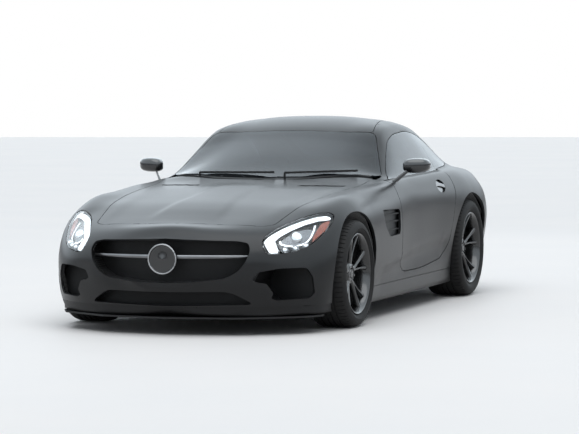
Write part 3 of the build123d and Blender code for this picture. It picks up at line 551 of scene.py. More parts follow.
def boxed(bm, low, high):
    """Drops faces outside a box, in millimetres, quickly and roughly."""
    gone = []
    for f in bm.faces:
        c = f.calc_center_median() * 1000
        if any(not low[i] <= c[i] <= high[i] for i in range(3)):
            gone.append(f)
    bmesh.ops.delete(bm, geom=gone, context="FACES")


SURFACE = half_surface()


def patch(keep, drop, box):
    """A piece of the smooth surface inside the keep outlines and outside the drop ones."""
    bm = SURFACE.copy()
    boxed(bm, *box)
    for outline, view, *span in keep:
        trimmed(bm, outline, view, True, *span)
    for outline, view, *span in drop:
        trimmed(bm, outline, view, False, *span)
    return bm


def turned_over(verts, layer):
    """Moves points and their kept normals to the other side."""
    for v in verts:
        v.co.x = -v.co.x
        n = v[layer].copy()
        n.x = -n.x
        v[layer] = n


def reflected(bm):
    """Adds the mirror image and joins the two along the centreline."""
    layer = bm.verts.layers.float_vector["smooth"]
    got = bmesh.ops.duplicate(bm, geom=bm.verts[:] + bm.edges[:] + bm.faces[:])["geom"]
    faces = [g for g in got if isinstance(g, bmesh.types.BMFace)]
    turned_over([g for g in got if isinstance(g, bmesh.types.BMVert)], layer)
    bmesh.ops.reverse_faces(bm, faces=faces)
    seam = [v for v in bm.verts if abs(v.co.x) < 2e-6]
    bmesh.ops.remove_doubles(bm, verts=seam, dist=1e-5)
    return bm


def mirror_only(bm):
    """The mirror image on the right side."""
    bm = bm.copy()
    turned_over(bm.verts, bm.verts.layers.float_vector["smooth"])
    bmesh.ops.reverse_faces(bm, faces=bm.faces)
    return bm


def sheet_object(name, bm, thickness, sunk=0.0, inner_x=None, lining=None):
    """An object from a patch: its outer face, an inner face thickness behind it, and the edge between.

    sunk moves the outer face inwards. With inner_x the inner face lies in that upright plane, as in a door.
    """
    layer = bm.verts.layers.float_vector["smooth"]
    if not bm.verts:
        raise ValueError(f"{name} has no faces")
    normals, inner_faces, verts, faces = [], [], [], []
    outer = list(bm.verts)
    bm.verts.index_update()
    edge_verts = {v for e in bm.edges if len(e.link_faces) == 1 for v in e.verts}
    for v in outer:
        verts.append(v.co - v[layer] * (sunk + (LIP if v in edge_verts else 0)))
    for v in outer:
        if inner_x is None:
            verts.append(v.co - v[layer] * (thickness + sunk))
        else:
            side = math.copysign(1, v.co.x)
            verts.append(Vector((side * inner_x, v.co.y, v.co.z)))
    count = len(outer)
    for f in bm.faces:
        ids = [v.index for v in f.verts]
        faces.append(ids)
        normals += [tuple(v[layer]) for v in f.verts]
        inner_faces += [0, 1]
        faces.append([i + count for i in reversed(ids)])
        if inner_x is None:
            normals += [tuple(-v[layer]) for v in reversed(f.verts)]
        else:
            normals += [(-math.copysign(1, f.verts[0].co.x), 0, 0)] * len(ids)
    for e in bm.edges:
        if len(e.link_faces) != 1:
            continue
        loop = e.link_loops[0]
        a, b = loop.vert.index, loop.link_loop_next.vert.index
        quad = [b, a, a + count, b + count]
        faces.append(quad)
        inner_faces.append(0)
        p = [verts[i] for i in quad]
        n = (p[1] - p[0]).cross(p[2] - p[0])
        n = n.normalized() if n.length > 1e-12 else Vector((0, 0, 1))
        normals += [tuple(n)] * 4
    mesh = bpy.data.meshes.new(name)
    mesh.from_pydata([tuple(v) for v in verts], [], faces)
    mesh.polygons.foreach_set("use_smooth", [True] * len(mesh.polygons))
    mesh.normals_split_custom_set(normals)
    mesh.update()
    if lining:
        mesh.materials.append(None)
        mesh.materials.append(lining)
        mesh.polygons.foreach_set("material_index", inner_faces)
    bm.free()
    made = bpy.data.objects.new(name, mesh)
    scene.collection.objects.link(made)
    return made


def mesh_object(name, verts, faces):
    """An object from plain lists, in metres, smooth but for its sharp edges."""
    mesh = bpy.data.meshes.new(name)
    mesh.from_pydata([tuple(v) for v in verts], [], [tuple(f) for f in faces])
    mesh.update()
    bm = bmesh.new()
    bm.from_mesh(mesh)
    bmesh.ops.recalc_face_normals(bm, faces=bm.faces)
    bm.to_mesh(mesh)
    bm.free()
    mesh.shade_smooth()
    mesh.set_sharp_from_angle(angle=SHARP_ANGLE)
    made = bpy.data.objects.new(name, mesh)
    scene.collection.objects.link(made)
    return made


def dressed(made, stuff, body, slot, *nodes):
    """Material, body and replaced nodes of a piece. The slot is not used."""
    if made.data.materials:
        made.data.materials[0] = stuff
    else:
        made.data.materials.append(stuff)
    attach(made, body)
    if nodes:
        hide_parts(*nodes)
    return made


def pair(name, bm, thickness, stuff, bodies, slot, nodes=(), **how):
    """The left piece and its mirror image."""
    right = mirror_only(bm)
    dressed(sheet_object(f"{name}_left_skin", bm, thickness, **how), stuff, bodies[0], slot, *nodes[:1])
    dressed(sheet_object(f"{name}_right_skin", right, thickness, **how), stuff, bodies[1], slot, *nodes[-1:])


def centred(name, bm, thickness, stuff, body, slot, *nodes, **how):
    """One piece across the middle: a patch with its mirror image."""
    dressed(sheet_object(name, reflected(bm), thickness, **how), stuff, body, slot, *nodes)


BOTH = ("body", "body")
DOORS = ("door_left", "door_right")
BONNETS = ("bonnet", "bonnet")
FRONT_ARCH = ring(FRONT_AXLE, 386)
REAR_ARCH = ring(REAR_AXLE, 394)
bonnet_line = softened(BONNET, 0.35)
screen_line = softened(SCREEN, 0.16)
roof_line = softened(ROOF, 0.1)
hatch_line = softened(HATCH, 0.2)
rear_glass_line = softened(REAR_GLASS, 0.25)
door_line = softened(DOOR, 0.3, keep=(8, 9))
window_line = softened(SIDE_WINDOW, 0.35)
headlamp_line = softened(HEADLAMP, 0.4)
grille_line = softened(GRILLE, 0.4)
intake_line = softened(SIDE_INTAKE, 0.3)
lower_line = softened(LOWER_INTAKE, 0.3)
tail_line = softened(TAIL_LAMP, 0.3)
vent_line = softened(VENT, 0.22)
slot_line = softened(BONNET_SLOT, 0.2)
exhaust_line = softened(EXHAUST, 0.2)
black_line = softened(TAIL_BLACK, 0.2)
LAMP_SPAN = (-2300, -1400)
NOSE_SPAN = (-2400, -1700)
TAIL_SPAN = (1650, 2400)
GLASS = 0.0045  # thickness of the windows in metres
ABOVE = (500, 1500)  # heights of the bonnet's top
EXHAUST_SPAN = (1900, 2400)
LAMP_BOX = ((500, -2200, 450), (1000, -1400, 760))
TAIL_LAMP_BOX = ((400, 1600, 680), (1000, 2400, 800))
DOOR_BOX = ((740, -320, 240), (1100, 1000, 905))
SLOT_BOX = ((300, -820, 700), (700, -600, 1000))
SCREEN_BOX = ((-1, -560, 830), (780, 240, 1400))
REAR_GLASS_BOX = ((-1, 820, 800), (520, 1800, 1400))

# Bonnet, with two slots near its rear edge
bonnet_patch = patch([(grown(bonnet_line, -GAP), PLAN)], [(slot_line, PLAN)], ((-1, -2100, 560), (760, -300, 1000)))
centred("bonnet_skin", bonnet_patch, 0.018, PAINT, "bonnet", "paint", "bonnet")

# Wings, split from the bumper, the door and the lamp
wing_patch = patch(
    [([(-1830, 654), (-1478, 654), (-1478, 222), (-309, 222), (-309, 1000), (-1830, 1000)], SIDE)],
    [(grown(bonnet_line, GAP), PLAN, *ABOVE), (FRONT_ARCH, SIDE), (grown(headlamp_line, GAP), FRONT, *LAMP_SPAN),
     (vent_line, SIDE), ([(0, -800), (700, -370), (744, -340), (744, -180), (0, -180)], PLAN, 700, 1500)],
    ((400, -1900, 180), (1100, -300, 1000)))
pair("wing", wing_patch, 0.016, PAINT, BOTH, "paint", ("wings",))

# Doors: outer skin joined to a flat inner face
hollow_line = [(HANDLE[0] + 84 * math.cos(a), HANDLE[1] + 45 * math.sin(a)) for a in round_angles(40)]
door_patch = patch([(grown(door_line, -GAP - 1.5), SIDE)], [(hollow_line, SIDE)], DOOR_BOX)
trimmed(door_patch, [(780, -400), (1100, -400), (1100, 1100), (780, 1100)], PLAN, True)
pair("door", door_patch, 0.1, PAINT, DOORS, "paint", DOORS, inner_x=0.75, lining=LEATHER)

# Side frames with the roof rails and the rear wings
frame_patch = patch(
    [([(-309, 222), (2400, 222), (2400, 1400), (-420, 1400), (-420, 850), (-309, 850)], SIDE)],
    [(grown(screen_line, GAP), PLAN, 840, 1500), (grown(roof_line, GAP), PLAN, 1000, 1500),
     (grown(hatch_line, GAP), PLAN, 712, 1500), (grown(door_line, GAP - 0.5), SIDE), (grown(window_line, 3), SIDE),
     (REAR_ARCH, SIDE), (grown(REAR_BUMPER, GAP), SIDE), (grown(tail_line, GAP), FRONT, *TAIL_SPAN),
     ([(0, -800), (700, -370), (744, -340), (744, -205), (0, -205)], PLAN, 700, 1500),
     ([(-420, 0), (-309, 0), (-309, 878), (-420, 878)], SIDE)],
    ((300, -420, 200), (1100, 2300, 1400)))
pair("side_frame", frame_patch, 0.02, PAINT, BOTH, "paint", ("side_frames",))

# Sills, roof, tailgate
sill_patch = patch([([(-960, 100), (960, 100), (960, 219), (-960, 219)], SIDE),
                    ([(780, -3000), (1200, -3000), (1200, 3000), (780, 3000)], PLAN)],
                   [(FRONT_ARCH, SIDE), (REAR_ARCH, SIDE)], ((0, -1000, 0), (1100, 1000, 260)))
pair("sill", sill_patch, 0.016, PAINT, BOTH, "paint", ("sills",))
roof_patch = patch([(grown(roof_line, -GAP), PLAN, 1000, 1500)], [], ((-1, 100, 1000), (620, 840, 1400)))
centred("roof_skin", roof_patch, 0.022, PAINT, "body", "paint", "roof", lining=CARPET)
# The tailgate starts behind its hinge line, so that its front edge clears the roof as it opens
HATCH_SIDE = [(825, 716), (2400, 716), (2400, 1400), (825, 1400)]
SEAM = [(-50, 799), (474, 799), (482, 832), (-50, 832)]
hatch_patch = patch([(grown(hatch_line, -GAP), PLAN, 600, 1500), (HATCH_SIDE, SIDE)],
                    [(rear_glass_line, PLAN, 700, 1500)], ((-1, 780, 700), (620, 2400, 1400)))
centred("tailgate_skin", hatch_patch, 0.02, PAINT, "hatch", "paint", "hatch")
seam_patch = patch([(SEAM, PLAN, 1000, 1500)], [], ((-1, 780, 1000), (620, 850, 1400)))
centred("tailgate_seam_floor", seam_patch, 0.003, PLASTIC, "body", "black_plastic", sunk=0.026)

# Bumpers
bumper_patch = patch(
    [(FRONT_BUMPER, SIDE), ([(-2500, 176), (-1400, 176), (-1400, 900), (-2500, 900)], SIDE)],
    [(grown(bonnet_line, GAP), PLAN, *ABOVE), (FRONT_ARCH, SIDE), (grown(headlamp_line, GAP), FRONT, *LAMP_SPAN),
     (grille_line, FRONT, *NOSE_SPAN), (intake_line, FRONT, *NOSE_SPAN), (lower_line, FRONT, *NOSE_SPAN)],
    ((-1, -2300, 0), (1100, -1478, 800)))
centred("front_bumper_skin", bumper_patch, 0.014, PAINT, "body", "paint", "front_bumper")
tail_patch = patch(
    [(REAR_BUMPER, SIDE)],
    [(REAR_ARCH, SIDE), (grown(black_line, GAP), FRONT, 1700, 2400), (grown(tail_line, GAP), FRONT, *TAIL_SPAN),
     (grown(hatch_line, GAP), PLAN, 712, 1500), (exhaust_line, FRONT, *EXHAUST_SPAN)],
    ((-1, 1590, 0), (1100, 2400, 714)))
centred("rear_bumper_skin", tail_patch, 0.014, PAINT, "body", "paint", "rear_bumper")
low_nose = patch([([(-2500, 0), (-2500, 174), (-1478, 174), (-1478, 0)], SIDE)], [(FRONT_ARCH, SIDE)],
                 ((-1, -2300, 0), (1100, -1478, 180)))
centred("front_lower_edge", low_nose, 0.01, PLASTIC, "body", "black_plastic", sunk=0.007)
low_tail = patch([(black_line, FRONT, 1700, 2400)], [(exhaust_line, FRONT, *EXHAUST_SPAN)],
                 ((-1, 1710, 0), (800, 2400, 340)))
centred("rear_lower_panel", low_tail, 0.01, PLASTIC, "body", "black_plastic", sunk=0.005)

# Glass
screen_patch = patch([(grown(screen_line, -GAP), PLAN, 840, 1500)], [], SCREEN_BOX)
centred("windscreen_glass", screen_patch, GLASS, TINTED, "body", "glass", "windscreen")
rear_patch = patch([(grown(rear_glass_line, -GAP), PLAN, 700, 1500)], [], REAR_GLASS_BOX)
centred("rear_window_glass", rear_patch, GLASS, TINTED, "hatch", "glass", "rear_window")
DOOR_GLASS_HALF = [(-300, 700), (925, 700), (925, 1400), (-300, 1400)]
QUARTER_HALF = [(931, 700), (1500, 700), (1500, 1400), (931, 1400)]
for name, half, bodies, nodes in (
    ("door_glass", DOOR_GLASS_HALF, DOORS, ("door_glass_left", "door_glass_right")),
    ("quarter_glass", QUARTER_HALF, BOTH, ("quarter_glass",)),
):
    glass_patch = patch([(grown(window_line, -0.5), SIDE), (half, SIDE)], [], ((500, -300, 860), (900, 1500, 1300)))
    pair(name, glass_patch, GLASS, TINTED, bodies, "glass", nodes)

# Lamps: clear covers over dark bowls
lamp_patch = patch([(grown(headlamp_line, -GAP), FRONT, *LAMP_SPAN)], [], LAMP_BOX)
bowl_patch = lamp_patch.copy()
pair("headlamp_cover", lamp_patch, 0.003, CLEAR, BOTH, "lamp_clear", ("headlamps",))
pair("headlamp_bowl", bowl_patch, 0.004, GLOSS, BOTH, "black_plastic", sunk=0.05)
tail_lamp_patch = patch([(grown(tail_line, -GAP), FRONT, *TAIL_SPAN)], [(grown(hatch_line, GAP), PLAN, 600, 1500)],
                        TAIL_LAMP_BOX)
tail_bowl = tail_lamp_patch.copy()
pair("tail_lamp_cover", tail_lamp_patch, 0.004, RED_LENS, BOTH, "lamp_red", ("tail_lamps",))
pair("tail_lamp_bowl", tail_bowl, 0.003, GLOSS, BOTH, "black_plastic", sunk=0.03)


def quads(rows, count, rows_close=False, row_closes=True):
    """Faces between rows of count points, the last row or point joined to the first where they close."""
    faces = []
    for j in range(rows if rows_close else rows - 1):
        n = (j + 1) % rows
        for i in range(count if row_closes else count - 1):
            m = (i + 1) % count
            faces.append((j * count + i, j * count + m, n * count + m, n * count + i))
    return faces


def lofted(rings, capped=True):
    """Points and faces through rings of equal length."""
    count = len(rings[0])
    verts = [p for ring_points in rings for p in ring_points]
    faces = quads(len(rings), count)
    if capped:
        faces.append(tuple(range(count))[::-1])
        faces.append(tuple(range((len(rings) - 1) * count, len(rings) * count)))
    return verts, faces


def turned(profile, centre, side=1, steps=96, closed=True):
    """A ring about a cross-car axle, from (along, radius) points in millimetres."""
    verts = [centre + Vector((side * along_x, radius * math.cos(a), radius * math.sin(a))) / 1000
             for a in round_angles(steps) for along_x, radius in profile]
    return verts, quads(steps, len(profile), True, closed)


def merged(*parts):
    """Several parts as one."""
    verts, faces = [], []
    for more_verts, more_faces in parts:
        base = len(verts)
        verts += more_verts
        faces += [tuple(i + base for i in f) for f in more_faces]
    return verts, faces


def oval(centre, u, v, half_u, half_v, power=2.6, steps=28):
    """A rounded ring in the plane of u and v, in millimetres about a centre in millimetres."""
    points = []
    for a in round_angles(steps):
        c, s = math.cos(a), math.sin(a)
        points.append((Vector(centre) + Vector(u) * half_u * math.copysign(abs(c) ** (2 / power), c)
                       + Vector(v) * half_v * math.copysign(abs(s) ** (2 / power), s)) / 1000)
    return points


def tube(points, radius, steps=10):
    """A round bar along points in millimetres."""
    rings = []
    for i, here in enumerate(points):
        ahead = Vector(points[min(i + 1, len(points) - 1)]) - Vector(points[max(i - 1, 0)])
        ahead.normalize()
        u = ahead.cross(Vector((0, 0, 1)) if abs(ahead.z) < 0.9 else Vector((0, 1, 0))).normalized()
        rings.append(oval(here, u, ahead.cross(u), radius, radius, 2.0, steps))
    return lofted(rings)


def mirrored_part(part):
    return [Vector((-v.x, v.y, v.z)) for v in part[0]], part[1]


def dome(centre, normal, radius, height):
    """A shallow cap, metres, standing on a plane."""
    steps, rings = 28, 7
    normal = Vector(normal).normalized()
    u = normal.cross(Vector((0, 0, 1))).normalized()
    v = normal.cross(u)
    rows = []
    for j in range(rings + 1):
        t = j / rings * math.pi / 2
        r, h = radius * math.cos(t) + 1e-5, height * math.sin(t)
        rows.append([Vector(centre) + normal * h + (u * math.cos(a) + v * math.sin(a)) * r
                     for a in round_angles(steps)])
    rows.insert(0, [p - normal * 0.002 for p in rows[0]])
    return lofted(rows)


TREE = BVHTree.FromBMesh(SURFACE)


def front_point(x, z, depth):
    """Place on the smooth surface seen from the front, moved inwards by depth, with its normal."""
    hit, normal, *_ = TREE.ray_cast(Vector((x / 1000, -3, z / 1000)), Vector((0, 1, 0)))
    return hit - normal * depth, normal


def ribbon(points, half):
    """Outline around a line of points, half as wide on each side."""
    left_side, right_side = [], []
    for i, here in enumerate(points):
        ahead = (Vector(points[min(i + 1, len(points) - 1)]) - Vector(points[max(i - 1, 0)])).normalized()
        across = Vector((-ahead.y, ahead.x)) * half
        left_side.append(tuple(Vector(here) + across))
        right_side.append(tuple(Vector(here) - across))
    return left_side + right_side[::-1]


def overlay(name, outline, view, stuff, bodies, slot, box, sunk, thickness=0.003, span=EVERYWHERE, within=None):
    """A pair of thin pieces that follow the surface inside an outline."""
    keep = [(outline, view, *span)]
    if within:
        keep.insert(0, (within, view, *span))
    pair(name, patch(keep, [], box), thickness, stuff, bodies, slot, sunk=sunk)


def both(name, part, stuff, bodies, slot, nodes=()):
    """Left piece from points and faces, and its mirror image."""
    for side, one, body, node in zip(("left", "right"), (part, mirrored_part(part)), bodies, nodes or (None, None)):
        piece = mesh_object(f"{name}_{side}", *one)
        dressed(piece, stuff, body, slot, *([node] if node else []))


# Inside the headlamps: light band, guide, projector, small lenses and marker
lamp_inner = grown(headlamp_line, -9)
BAND = [(622, 505), (572, 580), (600, 642), (650, 680), (705, 708), (774, 726), (832, 727), (858, 700), (846, 690)]
BAND += [(792, 686), (736, 668), (688, 638), (648, 604), (632, 577), (664, 520), (660, 490)]
GUIDE = [(656, 580), (668, 562), (690, 552), (731, 545), (768, 553), (790, 572), (797, 600), (795, 637), (788, 666)]
AMBER_AREA = [(814, 668), (848, 688), (862, 668), (858, 640), (836, 585), (812, 566), (806, 590)]
HOOD = [(662, 588), (690, 560), (731, 553), (766, 561), (784, 580), (790, 610), (786, 650), (740, 655), (695, 630)]
for name, outline, stuff, sunk, within in (
    ("light_band", BAND, WHITE_GLOW, 0.016, lamp_inner),
    ("light_guide", ribbon(GUIDE, 4.5), WHITE_GLOW, 0.022, None),
    ("amber_marker", softened(AMBER_AREA, 0.2), AMBER, 0.018, lamp_inner),
    ("projector_surround", softened(HOOD, 0.3), DARK_METAL, 0.036, None),
):
    overlay(name, outline, FRONT, stuff, BOTH, "lamp_clear", LAMP_BOX, sunk, span=LAMP_SPAN, within=within)
glasses, sockets = [], []
for x, z, radius, depth in ((730, 604, 36, 0.034), (696, 521, 15, 0.02), (744, 529, 15, 0.02), (789, 543, 15, 0.02)):
    place, normal = front_point(x, z, depth)
    forward = (normal + Vector((0, -1.2, 0))).normalized()
    glasses.append(dome(place, forward, radius / 1000, radius * 0.5 / 1000))
    sockets.append(dome(place - forward * 0.004, forward, (radius + 7) / 1000, 0.004))
both("lamp_lenses", merged(*glasses), CHROME, BOTH, "lamp_clear")
both("lamp_sockets", merged(*sockets), DARK_METAL, BOTH, "lamp_clear")

# Grille bar with a plain ring badge
bar_rings = []
for i in range(41):
    x = -506 + 1012 * i / 40
    y = -2238 + 146 * (x / 509) ** 2
    taper = 1 - 0.35 * abs(x / 509) ** 3
    bar_rings.append(oval((x, y + 6, 479), (0, 1, 0), (0, 0, 1), 8, 12 * taper, 2.4, 16))
bar = mesh_object("grille_bar_skin", *lofted(bar_rings))
dressed(bar, DARK_METAL, "body", "dark_metal", "grille_bar")
BADGE = [(0, 0), (0, 84), (4, 86), (4, 92), (-8, 93), (-12, 91)]  # along Y, radius
BADGE += [(-14, 87), (-13, 83), (-8, 80), (-7, 40), (-9, 22), (-12, 0)]
BADGE_Y, BADGE_Z, BADGE_STEPS = -2247, 466, 72
badge_verts = [Vector((radius * math.cos(a), BADGE_Y + out_y, BADGE_Z + radius * math.sin(a))) / 1000
               for a in round_angles(BADGE_STEPS) for out_y, radius in BADGE]
badge_faces = quads(BADGE_STEPS, len(BADGE), True, False)
dressed(mesh_object("plain_badge", badge_verts, badge_faces), GLOSS, "body", "dark_metal")
rim_points = [(88 * math.cos(a), BADGE_Y - 11, BADGE_Z + 88 * math.sin(a)) for a in round_angles(72) + [2 * math.pi]]
dressed(mesh_object("badge_rim", *tube(rim_points, 4.6, 10)), ALLOY, "body", "alloy")

# Wheels
BLOCKS = 66  # tread blocks round a tyre
SPOKE_ROOT, SPOKE_END = 52, 235  # radii in millimetres
HUB_FACE = 74  # how far the spokes' roots stand outboard of the rim's middle


def tread(centre, half, radius, side):
    """Tyre with round walls, four grooves and cross cuts in its shoulders."""
    wall = [(half - 15, 242), (half - 14, 254), (half + 2, 264), (half + 9, 280), (half + 13, radius - 52)]
    wall += [(half + 12, radius - 40), (half + 7, radius - 26), (half - 2, radius - 14)]
    crown = [(half - 12, radius - 8, 1), (half - 26, radius - 3, 1), (half - 48, radius - 1.4, 1)]
    for middle in (half * 0.45, half * 0.13):
        crown += [(middle + 10, radius - 0.4, 0), (middle + 5.5, radius - 0.4, 0), (middle + 4, radius - 7.5, 0)]
        crown += [(middle - 4, radius - 7.5, 0), (middle - 5.5, radius - 0.4, 0)]
    points = [(x, r, 0) for x, r in wall] + crown
    points += [(-x, r, cut) for x, r, cut in reversed(points)]
    points += [(-(half - 40), 244, 0), (-(half - 30), radius - 30, 0), (half - 30, radius - 30, 0), (half - 40, 244, 0)]
    verts, angles = [], []
    for block in range(BLOCKS):
        angles += [(block, 1), (block + 0.13, 1), (block + 0.17, 0), (block + 0.96, 0)]
    for place, low in angles:
        a = 2 * math.pi * place / BLOCKS
        for x, r, cut in points:
            r -= 4.5 * low * cut
            verts.append(centre + Vector((side * x, r * math.cos(a), r * math.sin(a))) / 1000)
    return verts, quads(len(angles), len(points), True)


def wheel(centre, half, side):
    """Rim with five pairs of spokes, its hub, cap and bolts."""
    barrel = [(-half + 3, 251), (-half + 12, 251), (-half + 16, 241), (half - 20, 241), (half - 12, 251)]
    barrel += [(half - 2, 252), (half, 249), (half - 2, 244), (half - 8, 240), (half - 20, 231)]
    barrel += [(half - 60, 224), (-half + 60, 219), (-half + 16, 230), (-half + 3, 243)]
    hub = [(20, 84), (46, 76), (68, 66), (74, 58), (75, 36), (70, 34), (70, 30), (78, 26), (80, 14), (80, 0.5)]
    parts = [turned(barrel, centre, side), turned(hub, centre, side, 60, closed=False)]
    for number in range(10):
        lean = 1 if number % 2 else -1
        middle = 90 + 72 * (number // 2)
        rings = []
        for t in (0, 0.08, 0.25, 0.5, 0.75, 0.92, 1):
            reach = SPOKE_ROOT + t * (SPOKE_END - SPOKE_ROOT)
            a = math.radians(middle + lean * (5 + 8.5 * t))
            width = 16 - 8 * math.sin(math.pi * min(t * 1.15, 1)) * 0.75 - 3 * t
            front = HUB_FACE + (half - 18 - HUB_FACE) * t ** 1.6
            depth = 34 - 10 * t
            outline = [(-width, -depth), (-width, -7), (-width + 3.5, -1), (-width * 0.35, 0), (width * 0.35, -2.5)]
            outline += [(width - 3, -6), (width, -12), (width, -depth)]
            radial = Vector((0, math.cos(a), math.sin(a)))
            tangent = Vector((0, -math.sin(a), math.cos(a)))
            rings.append([centre + (radial * reach + tangent * u * lean + Vector((side * (front + w), 0, 0))) / 1000
                          for u, w in outline])
        parts.append(lofted(rings))
    for number in range(5):
        a = math.radians(126 + 72 * number)
        bolt = centre + Vector((side * 73.5, 47 * math.cos(a), 47 * math.sin(a))) / 1000
        parts.append(lofted([[bolt + Vector((side * h, q * math.cos(b), q * math.sin(b))) / 1000
                              for b in (math.pi / 3 * s for s in range(6))] for h, q in ((-6, 10), (3, 10), (5, 7))]))
    return merged(*parts)


for end, axle, out, half, radius in (("front", FRONT_AXLE, 0.822, 121, 334), ("rear", REAR_AXLE, 0.81, 135, 343)):
    for hand, side in (("left", 1), ("right", -1)):
        centre = Vector((side * out, axle.y, axle.z))
        body = f"{end}_wheel_{hand}"
        dressed(mesh_object(f"tyre_{end}_{hand}_tread", *tread(centre, half, radius, side)), RUBBER, body, "tyre",
                f"tyre_{end}_{hand}")
        dressed(mesh_object(f"wheel_{end}_{hand}_spokes", *wheel(centre, half, side)), WHEEL, body, "wheel_black",
                f"rim_{end}_{hand}")
        disc = [(-34, 84), (-34, 189), (-32, 191), (-12, 191), (-10, 189), (-10, 96), (18, 88), (18, 84)]
        dressed(mesh_object(f"brake_disc_{end}_{hand}", *turned(disc, centre, side, 120)), DISC, body, "steel")

# Mirrors
# x, y, z, half width, half height
SHELL = [(862, -97, 962, 14, 10), (868, -96, 963, 36, 26), (880, -94, 964, 52, 39), (900, -91, 965, 60, 46)]
SHELL += [(930, -87, 966, 62, 49), (970, -80, 967, 60, 48), (1000, -75, 968, 56, 44), (1020, -68, 968, 46, 36)]
SHELL += [(1032, -62, 968, 32, 25), (1036, -60, 968, 16, 13)]
shell_rings = []
for x, y, z, wide, high in SHELL:
    shape = oval((x, y, z), (0, 1, 0), (0, 0, 1), wide, high, 2.9, 36)
    shell_rings.append([Vector((p.x, min(p.y, (y + 0.55 * wide) / 1000), p.z)) for p in shape])
stalk_along = Vector((0.5, 0.8, 0)).normalized()
stalk_rings = []
for t in (0, 0.2, 0.5, 0.8, 1):
    x, y, z = 838 + 77 * t, -215 + 105 * t, 868 + 82 * t
    stalk_rings.append(oval((x, y, z), stalk_along, (-0.5, 0.2, 0.8), 26 - 8 * t, 9 - 2 * t, 2.2, 20))
both("mirror_shell", merged(lofted(shell_rings), lofted(stalk_rings)), GLOSS, DOORS, "black_plastic",
     ("mirror_left", "mirror_right"))
glass_rings = [oval((960, y, 972), (1, 0.12, 0), (0, 0, 1), half_wide, half_high, 2.9, 36)
               for y, half_wide, half_high in ((-50, 60, 37), (-46, 60, 37), (-45, 58, 35))]
both("mirror_glass", lofted(glass_rings), CHROME, DOORS, "glass")

# Door handles in round hollows
overlay("handle_hollow", hollow_line, SIDE, GLOSS, DOORS, "black_plastic", DOOR_BOX, 0.012)
LEVER = [(HANDLE[0] + y, z) for y, z in ((-92, 813), (-40, 817), (20, 812), (84, 800))]
overlay("handle_lever", ribbon(LEVER, 11), SIDE, ALLOY, DOORS, "dark_metal", DOOR_BOX, 0.0, 0.009)
BELT_STRIP = [(-212, 872), (300, 884), (926, 896), (926, 906.5), (300, 896), (-212, 881)]
BELT_BOX = ((740, -320, 860), (1100, 940, 915))
overlay("belt_seal", BELT_STRIP, SIDE, PLASTIC, DOORS, "black_plastic", BELT_BOX, 0.0, 0.01)

# Black edges of the glass
for name, line, inset, low, box, body in (
    ("windscreen_border", screen_line, 30, 840, SCREEN_BOX, "body"),
    ("rear_window_border", rear_glass_line, 26, 700, REAR_GLASS_BOX, "hatch"),
):
    edge_patch = patch([(grown(line, -3), PLAN, low, 1500)], [(grown(line, -inset), PLAN, low, 1500)], box)
    centred(name, edge_patch, 0.001, GLOSS, body, "black_plastic", sunk=0.0056)

# Fins in the slots of the bonnet
slot_floor = patch([(grown(slot_line, 3), PLAN, *ABOVE)], [], SLOT_BOX)
pair("slot_floor", slot_floor, 0.003, GLOSS, BONNETS, "black_plastic", sunk=0.012)
for number, share in enumerate((0.33, 0.66)):
    near, far = Vector((345, -760 + 38 * share)), Vector((655, -700 + 36 * share))
    fin = ribbon([tuple(near.lerp(far, t)) for t in (0.02, 0.98)], 3)
    overlay(f"slot_fin_{number}", fin, PLAN, GLOSS, BONNETS, "black_plastic", SLOT_BOX, 0.005, 0.006, ABOVE)

# Tail: light guides
GUIDE_LINE = [(452, 740), (640, 744), (800, 744), (862, 742)]
overlay("tail_guide", ribbon(GUIDE_LINE, 7), FRONT, RED_GLOW, BOTH, "lamp_red", TAIL_LAMP_BOX, 0.012, span=TAIL_SPAN,
        within=grown(tail_line, -8))

# Tail: fins under the panel and tips of the exhaust
FIN = [(1800, 200), (2188, 206), (2174, 150), (2122, 114), (2000, 110), (1800, 128)]  # y, z
fin_parts = []
for x in (-350, -150, 150, 350):
    fin_parts.append(lofted([[Vector((x + step, y, z)) / 1000 for y, z in grown(FIN, -inset)]
                             for step, inset in ((-6, 3), (-3, 0), (3, 0), (6, 3))]))
dressed(mesh_object("diffuser_fins", *merged(*fin_parts)), PLASTIC, "body", "black_plastic", "diffuser")
TIP_SLANT = 0.36  # the tips' ends follow the bumper, forwards towards the side
tip_rings = []
for y, inset in ((2092, 0.5), (2168, 0.5), (2172, 1.6), (2173, 3.5), (2171, 5.6), (2166, 6.8), (2100, 7)):
    outline = softened(grown(EXHAUST, -inset), 0.25, 5)
    tip_rings.append([Vector((x, y - TIP_SLANT * (x - EXHAUST[0][0]), z)) / 1000 for x, z in outline])
tips = lofted(tip_rings, capped=False)
dressed(mesh_object("exhaust_ends", *merged(tips, mirrored_part(tips))), CHROME, "body", "steel", "exhaust_tips")

# Cabin: padded seats, steering wheel
SEAT_MIDDLE = 400
# y, z, half width, half height
CUSHION = [(440, 290, 150, 60), (470, 315, 165, 80), (600, 305, 170, 82), (760, 285, 168, 82), (860, 270, 160, 70)]
